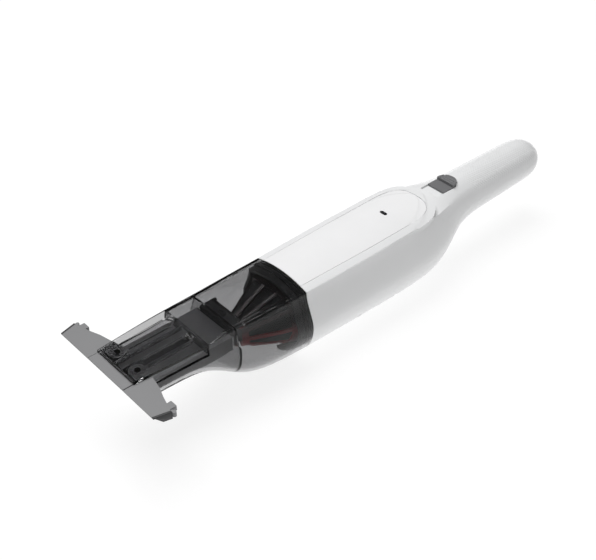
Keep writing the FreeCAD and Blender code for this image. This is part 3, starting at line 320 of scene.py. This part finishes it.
def round_bar(start, end, radius, sides=32):
    """A cutter: a round bar between two points."""
    start, end = Vector(start), Vector(end)
    work = bmesh.new()
    bmesh.ops.create_cone(work, cap_ends=True, segments=sides, radius1=radius, radius2=radius,
                          depth=(end - start).length)
    turn = (end - start).to_track_quat("Z", "Y").to_matrix().to_4x4()
    turn.translation = (start + end) / 2
    return placed_cutter(work, turn)


def bare_copy(node, angle=None):
    """A node's mesh without its materials, its doubles merged and, within an angle, its flat faces joined."""
    mesh = frame["nodes"][node].data.copy()
    mesh.materials.clear()
    work = bmesh.new()
    work.from_mesh(mesh)
    bmesh.ops.remove_doubles(work, verts=work.verts, dist=1e-6)
    if angle:
        bmesh.ops.dissolve_limit(work, angle_limit=angle, verts=work.verts, edges=work.edges)
    work.to_mesh(mesh)
    work.free()
    return mesh


def softened(node, name, material, width):
    """A copy of a moulded part with its flat faces joined and its edges rounded."""
    piece = piece_from(name, bare_copy(node, math.radians(1.0)), material, frame["nodes"][node]["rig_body"])
    bevel = piece.modifiers.new("Edges", "BEVEL")
    bevel.width = width
    bevel.segments = 2
    bevel.limit_method = "ANGLE"
    bevel.angle_limit = math.radians(30)
    bevel.harden_normals = False
    settle(piece)
    tidy_mesh(piece.data, 2e-6)
    smooth(piece, 40)
    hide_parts(node)


def joined_copy(node, name, material, degrees):
    """A copy of a part with its triangles joined, so that it shades as one smooth moulding."""
    piece = piece_from(name, bare_copy(node), material, frame["nodes"][node]["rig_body"])
    smooth(piece, degrees)
    weighted = piece.modifiers.new("Normals", "WEIGHTED_NORMAL")
    weighted.keep_sharp = True
    weighted.weight = 80
    settle(piece)
    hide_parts(node)


# ---- the skin of the barrel and handle ----

def housing_rows():
    """Sections from the seam to the tip in metres, one row each: place along the part, half width, crease,
    crease height, top, widest height, belly and roundness. The barrel and shoulders come first, then round
    sections for the handle, whose tip is a quarter ellipse."""
    past, inset, crease, crease_rise, top_rise, mid_rise, belly_rise, rounded = np.array(BARREL_SECTIONS).T
    barrel = np.stack([
        SEAM_Y + past * MM, BARREL_HALF - inset * MM, crease * MM, DECK_Z + crease_rise * MM,
        DECK_Z + top_rise * MM, AXIS_Z + mid_rise * MM, BELLY_Z + belly_rise * MM, rounded], axis=1)
    tip_start, tip_z = TAIL_Y - TIP_LONG, HANDLE_Z + TIP_LIFT
    a = np.radians([0, 22, 42, 58, 68])
    y = np.concatenate([[SEAM_Y + 190 * MM, SEAM_Y + 214 * MM], tip_start + TIP_LONG * np.sin(a), [TAIL_Y]])
    radius = np.concatenate([[19.7 * MM, 19.0 * MM], TIP_RADIUS * np.cos(a), [TIP_RADIUS * 0.33]])
    centre = np.concatenate([[HANDLE_Z - 0.4 * MM, HANDLE_Z + 0.2 * MM], np.full(len(a) + 1, tip_z)])
    chord = radius * math.sqrt(0.5)
    handle = np.stack([y, radius, chord, centre + chord, centre + radius, centre, centre - radius,
                       np.ones_like(y)], axis=1)
    return np.vstack([barrel, handle])


def side_net(table, flank_steps=8, belly_steps=9):
    """Control net round the flanks and belly. The flank runs from the crease to the widest height, easing as
    3t^2 - 2t^3 on the barrel and as a circle on the handle; the belly is a half ellipse."""
    y, half, crease, crease_z, mid, belly, rounded = (table[:, k:k + 1] for k in (0, 1, 2, 3, 5, 6, 7))
    t = np.arange(flank_steps)[None, :] / flank_steps
    hollow = crease + (half - crease) * t * t * (3 - 2 * t)
    rise = np.sqrt(1 - (crease / half) ** 2)
    full = half * np.sqrt(1 - (rise * (1 - t)) ** 2)
    flank_x = hollow + (full - hollow) * rounded
    flank_z = crease_z + (mid - crease_z) * t
    a = np.radians(90 * np.arange(belly_steps)[None, :] / belly_steps)
    belly_x = half * np.cos(a)
    belly_z = mid - (mid - belly) * np.sin(a)
    x = np.hstack([flank_x, belly_x, np.zeros_like(y)])
    z = np.hstack([flank_z, belly_z, belly])
    x = np.hstack([x, -x[:, -2::-1]])
    z = np.hstack([z, z[:, -2::-1]])
    return np.stack([x, np.broadcast_to(y, x.shape), z], axis=-1)


def crown_net(table, steps=8):
    """Control net over the top: a parabola between the two creases."""
    y, crease, crease_z, top = (table[:, k:k + 1] for k in (0, 2, 3, 4))
    across = np.linspace(-1, 1, steps + 1)[None, :]
    x = across * crease
    z = crease_z + (top - crease_z) * (1 - across ** 2)
    return np.stack([x, np.broadcast_to(y, x.shape), z], axis=-1)


def upper_skin():
    """The whole skin over the top, and down each flank past the line where the housing parts."""
    table = housing_rows()
    rows = np.linspace(0, 1, 260)
    side = net_points(side_net(table), rows, np.linspace(0, 1, 181))
    top = net_points(crown_net(table), rows, np.linspace(0, 1, 41))
    past = 54
    return np.concatenate([side[:, -past - 1:-1], top, side[:, 1:past + 1]], axis=1)


def crown_arc(x, y):
    """Height of the raised panel: an arc 4.45 mm high over its edges, whose edge line climbs towards the
    rear."""
    stops = np.array([SEAM_Y, SEAM_Y + 92 * MM, PANEL_REAR + 6 * MM])
    rise = np.interp(y, stops, DECK_Z + CROWN + np.array([0.0, 1.8, 3.2]) * MM)
    half = np.interp(y, stops, [CREASE_AT_SEAM, 28.6 * MM, 28.6 * MM])
    high = CROWN - 0.15 * MM
    radius = (half ** 2 + high ** 2) / (2 * high)
    return rise - radius + np.sqrt(radius ** 2 - x ** 2)


def slab_points(border, lift, depth, round_off, front=0.0):
    """Rings of points round a crowned slab inside the panel's outline. The outline is straight to a bend,
    then x = half cos(a)^p, y = reach sin(a)^p with p 0.62. The top rim drops as a quarter circle of radius
    round_off."""
    bend, rear, power = SEAM_Y + 108 * MM, PANEL_REAR - border, OUTLINE_POWER
    half = 28.4 * MM - border
    reach = rear - bend
    a = math.pi / 2 * (1 - (1 - np.linspace(0, 1, 70)) ** power)
    turn = bend + reach * np.sin(a) ** power
    y = np.concatenate([np.linspace(SEAM_Y - front, bend, 60)[:-1], turn])
    width = np.interp(y, [SEAM_Y, SEAM_Y + 70 * MM], [27.0 * MM - border, half])
    width[-len(a):] = half * np.maximum(np.cos(a), 0) ** power
    edge = 1 - np.array([0, 0.02, 0.08, 0.18, 0.32, 0.5, 0.75, 1.0, 1.3]) * (max(round_off, 0.4 * MM) / half)
    v = np.concatenate([-edge, np.linspace(-0.9, 0.9, 37), edge[::-1]])
    x = width[:, None] * v[None, :]
    row = np.broadcast_to(y[:, None], x.shape)
    top = crown_arc(x, row) + lift
    level = (np.abs(x) / half) ** (1 / power) + (np.maximum(row - bend, 0) / reach) ** (1 / power)
    gap = (1 - level ** power) * np.where(row > bend, min(half, reach), half)
    inside = np.clip(round_off - gap, 0, round_off)
    top = top - (round_off - np.sqrt(np.maximum(round_off ** 2 - inside ** 2, 0)))
    bottom = crown_arc(x, row) + lift - depth
    ring = np.concatenate([np.stack([x, row, top], -1), np.stack([x, row, bottom], -1)[:, ::-1]], axis=1)
    return ring


def closed_tube(name, rings):
    """A closed mesh from rings of points, capped by one flat face at each end."""
    mesh = grid_mesh(name, rings, closed=True)
    tidy_mesh(mesh, 2e-6)
    return mesh


def prism(outline, half):
    """A cutter: an outline of (y, z) points, as wide as half on both sides."""
    rings = np.array([[[x, y, z] for y, z in outline] for x in (-half, half)], float)
    return helper("cutter", closed_tube("cutter", rings))


# ---- materials ----

def group_of(name, inputs, outputs):
    """A node group with its sockets made: (name, socket type, default) each."""
    group = bpy.data.node_groups.new(name, "ShaderNodeTree")
    for label, kind, value in inputs:
        socket = group.interface.new_socket(name=label, in_out="INPUT", socket_type=kind)
        if value is not None:
            socket.default_value = value
    for label, kind in outputs:
        group.interface.new_socket(name=label, in_out="OUTPUT", socket_type=kind)
    enter = group.nodes.new("NodeGroupInput")
    leave = group.nodes.new("NodeGroupOutput")
    return group, enter, leave


def moulded_group():
    """Fine spark-eroded grain and slow unevenness of moulded plastic: a height, a tone and a roughness."""
    name = "Moulded plastic"
    if name in bpy.data.node_groups:
        return bpy.data.node_groups[name]
    group, enter, leave = group_of(
        name,
        [("Base", "NodeSocketColor", (0.8, 0.8, 0.8, 1)), ("Grain size", "NodeSocketFloat", 2600.0),
         ("Roughness", "NodeSocketFloat", 0.35), ("Spread", "NodeSocketFloat", 0.06)],
        [("Color", "NodeSocketColor"), ("Roughness", "NodeSocketFloat"), ("Height", "NodeSocketFloat")])
    nodes, links = group.nodes, group.links
    place = nodes.new("ShaderNodeTexCoord")
    grain = nodes.new("ShaderNodeTexNoise")
    grain.inputs["Detail"].default_value = 3.0
    links.new(place.outputs["Object"], grain.inputs["Vector"])
    links.new(enter.outputs["Grain size"], grain.inputs["Scale"])
    slow = nodes.new("ShaderNodeTexNoise")
    slow.inputs["Scale"].default_value = 34.0
    slow.inputs["Detail"].default_value = 4.0
    links.new(place.outputs["Object"], slow.inputs["Vector"])
    tone = nodes.new("ShaderNodeMapRange")
    tone.inputs["To Min"].default_value = 0.965
    tone.inputs["To Max"].default_value = 1.03
    links.new(slow.outputs["Fac"], tone.inputs["Value"])
    tint = nodes.new("ShaderNodeVectorMath")
    tint.operation = "SCALE"
    links.new(enter.outputs["Base"], tint.inputs[0])
    links.new(tone.outputs["Result"], tint.inputs["Scale"])
    links.new(tint.outputs["Vector"], leave.inputs["Color"])
    shift = nodes.new("ShaderNodeMath")
    shift.operation = "SUBTRACT"
    shift.inputs[1].default_value = 0.5
    links.new(slow.outputs["Fac"], shift.inputs[0])
    scaled = nodes.new("ShaderNodeMath")
    scaled.operation = "MULTIPLY_ADD"
    links.new(shift.outputs["Value"], scaled.inputs[0])
    links.new(enter.outputs["Spread"], scaled.inputs[1])
    links.new(enter.outputs["Roughness"], scaled.inputs[2])
    links.new(scaled.outputs["Value"], leave.inputs["Roughness"])
    links.new(grain.outputs["Fac"], leave.inputs["Height"])
    return group


def plastic(name, colour, roughness=0.35, grain=2600.0, bump=0.04, coat=0.0, spread=0.06):
    """An opaque moulded plastic."""
    if name in bpy.data.materials:
        return bpy.data.materials[name]
    material = bpy.data.materials.new(name)
    material.use_nodes = True
    nodes, links = material.node_tree.nodes, material.node_tree.links
    shader = nodes["Principled BSDF"]
    shader.inputs["IOR"].default_value = 1.49
    shader.inputs["Coat Weight"].default_value = coat
    shader.inputs["Coat Roughness"].default_value = 0.06
    grained = nodes.new("ShaderNodeGroup")
    grained.node_tree = moulded_group()
    grained.inputs["Base"].default_value = (*colour, 1)
    grained.inputs["Grain size"].default_value = grain
    grained.inputs["Roughness"].default_value = roughness
    grained.inputs["Spread"].default_value = spread
    links.new(grained.outputs["Color"], shader.inputs["Base Color"])
    links.new(grained.outputs["Roughness"], shader.inputs["Roughness"])
    relief = nodes.new("ShaderNodeBump")
    relief.inputs["Strength"].default_value = bump
    relief.inputs["Distance"].default_value = 0.0001
    links.new(grained.outputs["Height"], relief.inputs["Height"])
    links.new(relief.outputs["Normal"], shader.inputs["Normal"])
    return material


def grip_plastic(name, colour):
    """Housing plastic with the fine wavy relief on the top of the handle: sine ridges across, bent along the
    way, faded out by a mask that is one on the top of the handle only."""
    if name in bpy.data.materials:
        return bpy.data.materials[name]
    material = plastic(name, colour, roughness=0.3, coat=0.25)
    nodes, links = material.node_tree.nodes, material.node_tree.links
    place = nodes.new("ShaderNodeTexCoord")
    split = nodes.new("ShaderNodeSeparateXYZ")
    links.new(place.outputs["Object"], split.inputs["Vector"])

    def math_node(kind, a, b=None, c=None):
        node = nodes.new("ShaderNodeMath")
        node.operation = kind
        for socket, value in zip(node.inputs, (a, b, c)):
            if value is None:
                continue
            if isinstance(value, (int, float)):
                socket.default_value = value
            else:
                links.new(value, socket)
        return node.outputs["Value"]

    bend = math_node("MULTIPLY", math_node("SINE", math_node("MULTIPLY", split.outputs["X"], 1900.0)), 0.0009)
    wave = math_node("SINE", math_node("MULTIPLY", math_node("ADD", split.outputs["Y"], bend), 2500.0))
    ridge = math_node("POWER", math_node("MULTIPLY_ADD", wave, 0.5, 0.5), 2.0)

    def ramp(value, low, high):
        node = nodes.new("ShaderNodeMapRange")
        node.interpolation_type = "SMOOTHSTEP"
        node.inputs["From Min"].default_value = low
        node.inputs["From Max"].default_value = high
        links.new(value, node.inputs["Value"])
        return node.outputs["Result"]

    behind_switch = ramp(split.outputs["Y"], SEAM_Y + 188 * MM, SEAM_Y + 196 * MM)
    before_tip = ramp(split.outputs["Y"], TAIL_Y - 8 * MM, TAIL_Y - 18 * MM)
    on_top = ramp(split.outputs["Z"], DECK_Z - 8 * MM, DECK_Z - 3 * MM)
    mask = math_node("MULTIPLY", math_node("MULTIPLY", behind_switch, before_tip), on_top)
    relief = nodes.new("ShaderNodeBump")
    relief.inputs["Strength"].default_value = 0.55
    relief.inputs["Distance"].default_value = 0.00022
    shader = nodes["Principled BSDF"]
    grain_bump = shader.inputs["Normal"].links[0].from_node
    links.new(math_node("MULTIPLY", ridge, mask), relief.inputs["Height"])
    links.new(grain_bump.outputs["Normal"], relief.inputs["Normal"])
    links.new(relief.outputs["Normal"], shader.inputs["Normal"])
    return material


def clear_plastic(name, colour, roughness=0.03):
    """Tinted see-through plastic: light is tinted as it crosses each face."""
    if name in bpy.data.materials:
        return bpy.data.materials[name]
    material = bpy.data.materials.new(name)
    material.use_nodes = True
    nodes, links = material.node_tree.nodes, material.node_tree.links
    shader = nodes["Principled BSDF"]
    shader.inputs["IOR"].default_value = 1.3
    shader.inputs["Transmission Weight"].default_value = 1.0
    grained = nodes.new("ShaderNodeGroup")
    grained.node_tree = moulded_group()
    grained.inputs["Base"].default_value = (*colour, 1)
    grained.inputs["Roughness"].default_value = roughness
    grained.inputs["Spread"].default_value = 0.03
    links.new(grained.outputs["Color"], shader.inputs["Base Color"])
    links.new(grained.outputs["Roughness"], shader.inputs["Roughness"])
    return material


def shaded_by_height(material, low_colour, painted_shade_colour, low_z, high_z):
    """The same material with painted shade: its base colour blended between two heights of the object, from
    the low colour below to a darker painted shade colour above.
    """
    nodes, links = material.node_tree.nodes, material.node_tree.links
    grained = next(node for node in nodes if node.type == "GROUP")
    if grained.inputs["Base"].is_linked:
        return material
    place = nodes.new("ShaderNodeTexCoord")
    apart = nodes.new("ShaderNodeSeparateXYZ")
    links.new(place.outputs["Object"], apart.inputs["Vector"])
    rise = nodes.new("ShaderNodeMapRange")
    rise.interpolation_type = "SMOOTHSTEP"
    rise.inputs["From Min"].default_value = low_z
    rise.inputs["From Max"].default_value = high_z
    links.new(apart.outputs["Z"], rise.inputs["Value"])
    # painted shade: the base colour darkens from the low colour to the painted shade colour with height
    blend = nodes.new("ShaderNodeMixRGB")
    blend.inputs["Color1"].default_value = (*low_colour, 1)
    blend.inputs["Color2"].default_value = (*painted_shade_colour, 1)
    links.new(rise.outputs["Result"], blend.inputs["Fac"])
    links.new(blend.outputs["Color"], grained.inputs["Base"])
    return material


def metal(name, colour, roughness=0.3):
    """Drawn or turned metal with a fine grain."""
    if name in bpy.data.materials:
        return bpy.data.materials[name]
    material = plastic(name, colour, roughness=roughness, grain=900.0, bump=0.06)
    material.node_tree.nodes["Principled BSDF"].inputs["Metallic"].default_value = 1.0
    return material


def cloth(name, colour):
    """Filter cloth: a fine grain as relief and tone, with a soft sheen."""
    if name in bpy.data.materials:
        return bpy.data.materials[name]
    material = plastic(name, colour, roughness=0.85, grain=4200.0, bump=0.2)
    material.node_tree.nodes["Principled BSDF"].inputs["Sheen Weight"].default_value = 0.2
    return material


def finishes():
    """Every finish of the object by name."""
    colours = bpy.context.scene.vacuum_colours
    return {
        "shell": grip_plastic("Housing white", colours.shell),
        "panel": plastic("Panel white", colours.panel, roughness=0.2, bump=0.015, coat=0.5),
        "lens": plastic("Lens dark", (0.012, 0.012, 0.014), roughness=0.1, bump=0.0, coat=0.6),
        "black": plastic("Black moulded", (0.022, 0.022, 0.024), roughness=0.42, bump=0.1),
        "switch": plastic("Switch grey", colours.switch, roughness=0.45, bump=0.12),
        "seal": plastic("Seal rubber", (0.02, 0.02, 0.02), roughness=0.7, bump=0.2),
        "smoke": clear_plastic("Smoked clear", colours.smoke),
        "wings": plastic("Wing grey", colours.wings, roughness=0.42, bump=0.03),
        # the filter cage: its own deep red low down, darkened to a near-black painted shade towards its top
        "cage": shaded_by_height(
            plastic("Cage red", colours.cage, roughness=0.35, bump=0.05, coat=0.2),
            colours.cage, (0.02, 0.004, 0.005), AXIS_Z - 2 * MM, AXIS_Z + 9 * MM),
        "cloth": cloth("Filter cloth", (0.012, 0.012, 0.013)),
        "steel": metal("Steel", (0.55, 0.55, 0.56)),
        "magnet": plastic("Magnet", (0.06, 0.06, 0.065), roughness=0.6, bump=0.3),
        "cell": plastic("Cell wrap", (0.05, 0.12, 0.3), roughness=0.3, bump=0.02),
        "board": plastic("Board green", (0.01, 0.09, 0.03), roughness=0.4, bump=0.05),
        "wire": plastic("Wire red", (0.3, 0.01, 0.01), roughness=0.4, bump=0.02),
    }


NODE_FINISH = {
    "upper_housing": "shell", "lower_housing": "shell", "top_panel": "panel", "indicator_lens": "lens",
    "front_bulkhead": "black", "bowl_gasket": "seal", "fan_shroud": "black", "motor_can": "steel",
    "motor_magnets": "magnet", "motor_armature": "magnet", "motor_end_bell": "black", "motor_mount": "black",
    "motor_screws": "steel", "battery_cells": "cell", "battery_tray": "black", "cell_straps": "steel",
    "circuit_board": "board", "switch_block": "black", "charge_socket": "black", "power_leads": "wire",
    "housing_screws": "steel", "spring_bracket": "black", "fan_wheel": "black", "motor_shaft": "steel",
    "power_switch": "switch", "bowl_release_button": "shell", "release_spring": "steel", "dust_bowl": "smoke",
    "nozzle_duct": "wings", "flap_frame": "black", "flap_pin": "steel", "inlet_flap": "seal",
    "wing_pins": "steel",
    "wing_right": "wings", "wing_cap_right": "black", "wing_left": "wings", "wing_cap_left": "black",
    "filter_cage": "cage", "filter_cloth": "cloth",
}


# how much of the edge rounding each small moulded part gets
EDGE_SHARES = {
    "wing_right": 1, "wing_left": 1, "wing_cap_right": 5 / 6, "wing_cap_left": 5 / 6, "nozzle_duct": 5 / 6,
    "flap_frame": 5 / 6, "power_switch": 1,
}


# ---- operators, one for each piece or group of pieces ----

class VACUUM_OT_upper_housing(bpy.types.Operator):
    """White upper shell: barrel top with its raised rim, shoulders and handle, with the switch's recess"""
    bl_idname = "vacuum.upper_housing"
    bl_label = "Upper housing"

    def execute(self, context):
        sizes = context.scene.vacuum_sizes
        mesh = grid_mesh("upper_half", upper_skin())
        piece = piece_from("upper_half", mesh, finishes()["shell"], "housing")
        tidy_mesh(piece.data)
        thicken(piece, sizes.housing_wall)
        raised = slab_points(0.2 * MM, 0, 6.0 * MM, sizes.rim_round)
        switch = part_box("power_switch")
        half, rear, front = switch[1].x + SWITCH_GAP, switch[1].y + 1.0 * MM, switch[0].y - RECESS_AHEAD
        edge, floor_z = RECESS_FLOOR_EDGE, RECESS_FLOOR_Z
        floor = block((-half - edge, front - edge, floor_z - RECESS_FLOOR_THICK),
                      (half + edge, rear + 1 * MM, floor_z))
        carve(piece, [helper("rim", closed_tube("rim", raised)), floor], "UNION")
        part_z = DECK_Z - 13.0 * MM
        below = [(SEAM_Y - 0.03, AXIS_Z), (SEAM_Y + 130 * MM, AXIS_Z), (SEAM_Y + 178 * MM, part_z),
                 (TAIL_Y + 0.03, part_z), (TAIL_Y + 0.03, -0.03), (SEAM_Y - 0.03, -0.03)]
        pocket = closed_tube("inlay", slab_points(PANEL_BORDER - PANEL_GAP, 6 * MM, 7.5 * MM, 0, 1 * MM))
        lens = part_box("indicator_lens")
        recess = block((-half, front, floor_z), (half, rear - half, floor_z + THROUGH))
        recess_end = round_bar((0, rear - half, floor_z), (0, rear - half, floor_z + THROUGH), half, 64)
        eye = block((lens[0].x, lens[0].y, DECK_Z - 0.01), (lens[1].x, lens[1].y, DECK_Z + THROUGH))
        carve(piece, [prism(below, 0.08), helper("inlay", pocket), recess, recess_end, eye])
        smooth(piece, CREASE_DEGREES)
        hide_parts("upper_housing")
        return {"FINISHED"}


class VACUUM_OT_lower_housing(bpy.types.Operator):
    """White lower shell with its feet, exhaust slots and screw holes"""
    bl_idname = "vacuum.lower_housing"
    bl_label = "Lower housing"

    def execute(self, context):
        joined_copy("lower_housing", "lower_half", finishes()["shell"], CREASE_DEGREES)
        return {"FINISHED"}


class VACUUM_OT_top_panel(bpy.types.Operator):
    """Glossy white inlay with its rounded rim"""
    bl_idname = "vacuum.top_panel"
    bl_label = "Top panel"

    def execute(self, context):
        mesh = closed_tube("panel_inlay", slab_points(PANEL_BORDER, 0, PANEL_THICK, PANEL_ROUND))
        piece = piece_from("panel_inlay", mesh, finishes()["panel"], "housing")
        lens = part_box("indicator_lens")
        low, high = lens[0].z - THROUGH, lens[1].z + THROUGH
        radius = (lens[1].y - lens[0].y) / 2 + LENS_GAP
        y = (lens[0].y + lens[1].y) / 2
        reach = lens[1].x - radius + LENS_GAP
        ends = [round_bar((x, y, low), (x, y, high), radius) for x in (-reach, reach)]
        carve(piece, ends + [block((-reach, y - radius, low), (reach, y + radius, high))])
        smooth(piece, CREASE_DEGREES)
        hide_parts("top_panel")
        return {"FINISHED"}


class VACUUM_OT_dust_bowl(bpy.types.Operator):
    """Smoked see-through bowl with the nozzle's plate, as one smooth moulding"""
    bl_idname = "vacuum.dust_bowl"
    bl_label = "Dust bowl"

    def execute(self, context):
        joined_copy("dust_bowl", "smoked_bowl", finishes()["smoke"], 25)
        return {"FINISHED"}


class VACUUM_OT_carried(bpy.types.Operator):
    """Finishes for the parts that keep their frame shape"""
    bl_idname = "vacuum.carried"
    bl_label = "Frame part finishes"

    def execute(self, context):
        every = finishes()
        for node, finish in NODE_FINISH.items():
            part = frame["nodes"][node]
            part.data.materials.clear()
            part.data.materials.append(every[finish])
        return {"FINISHED"}


class VACUUM_OT_small_parts(bpy.types.Operator):
    """Moulded parts with rounded edges: wings, lip and duct, caps, switch and frame"""
    bl_idname = "vacuum.small_parts"
    bl_label = "Moulded small parts"

    def execute(self, context):
        every = finishes()
        round_edge = context.scene.vacuum_sizes.edge_round
        for node, share in EDGE_SHARES.items():
            softened(node, node + "_moulding", every[NODE_FINISH[node]], round_edge * share)
        return {"FINISHED"}


class VACUUM_OT_stage(bpy.types.Operator):
    """Pale floor, soft studio light and the camera"""
    bl_idname = "vacuum.stage"
    bl_label = "Stage"

    def execute(self, context):
        scene = context.scene
        far = FLOOR_HALF
        corners = np.array([[[-far, -far, 0], [far, -far, 0]], [[-far, far, 0], [far, far, 0]]], float)
        floor = bpy.data.objects.new("floor", grid_mesh("floor", corners))
        scene.collection.objects.link(floor)
        pale = plastic("Floor pale", (FLOOR_GREY, FLOOR_GREY, FLOOR_GREY), roughness=0.9, bump=0.0)
        glow = pale.node_tree.nodes["Principled BSDF"]
        glow.inputs["Specular IOR Level"].default_value = 0.0
        glow.inputs["Emission Color"].default_value = (1, 1, 1, 1)
        glow.inputs["Emission Strength"].default_value = FLOOR_GLOW
        floor.data.materials.append(pale)
        world = bpy.data.worlds.new("Studio")
        world.use_nodes = True
        world.node_tree.nodes["Background"].inputs["Color"].default_value = (1, 1, 1, 1)
        world.node_tree.nodes["Background"].inputs["Strength"].default_value = WORLD_STRENGTH
        scene.world = world
        for name, place, size, power in LAMPS:
            lamp = bpy.data.lights.new(name, "AREA")
            lamp.shape = "DISK"
            lamp.size = size
            lamp.energy = power
            light = bpy.data.objects.new(name, lamp)
            light.location = place
            light.rotation_euler = (LAMP_TARGET - Vector(place)).to_track_quat("-Z", "Y").to_euler()
            scene.collection.objects.link(light)
        camera_data = bpy.data.cameras.new("camera")
        camera_data.sensor_width = CAMERA_SENSOR
        camera_data.lens = CAMERA_LENS
        camera = bpy.data.objects.new("camera", camera_data)
        turn, lift = math.radians(CAMERA_AZIMUTH), math.radians(CAMERA_ELEVATION)
        back = Vector((math.sin(turn) * math.cos(lift), -math.cos(turn) * math.cos(lift), math.sin(lift)))
        camera.location = CAMERA_TARGET + back * CAMERA_DISTANCE
        camera.rotation_euler = (-back).to_track_quat("-Z", "Y").to_euler()
        scene.collection.objects.link(camera)
        scene.camera = camera
        scene.view_settings.view_transform = "Standard"
        return {"FINISHED"}


class VACUUM_PT_sidebar(bpy.types.Panel):
    bl_label = "Handheld Vacuum"
    bl_idname = "VACUUM_PT_sidebar"
    bl_space_type = "VIEW_3D"
    bl_region_type = "UI"
    bl_category = "Handheld Vacuum"

    def draw(self, context):
        for owner in (context.scene.vacuum_sizes, context.scene.vacuum_colours):
            for name in owner.__annotations__:
                self.layout.prop(owner, name)
        for operator in OPERATORS:
            self.layout.operator(operator.bl_idname)


OPERATORS = (VACUUM_OT_carried, VACUUM_OT_upper_housing, VACUUM_OT_lower_housing, VACUUM_OT_top_panel,
             VACUUM_OT_dust_bowl, VACUUM_OT_small_parts, VACUUM_OT_stage)
CLASSES = (VacuumSizes, VacuumColours, *OPERATORS, VACUUM_PT_sidebar)


def register():
    for item in CLASSES:
        bpy.utils.register_class(item)
    bpy.types.Scene.vacuum_sizes = PointerProperty(type=VacuumSizes)
    bpy.types.Scene.vacuum_colours = PointerProperty(type=VacuumColours)


def unregister():
    del bpy.types.Scene.vacuum_colours
    del bpy.types.Scene.vacuum_sizes
    for item in reversed(CLASSES):
        bpy.utils.unregister_class(item)


def main():
    register()
    for operator in OPERATORS:
        group, name = operator.bl_idname.split(".")
        getattr(getattr(bpy.ops, group), name)()


if __name__ == "__main__":
    main()
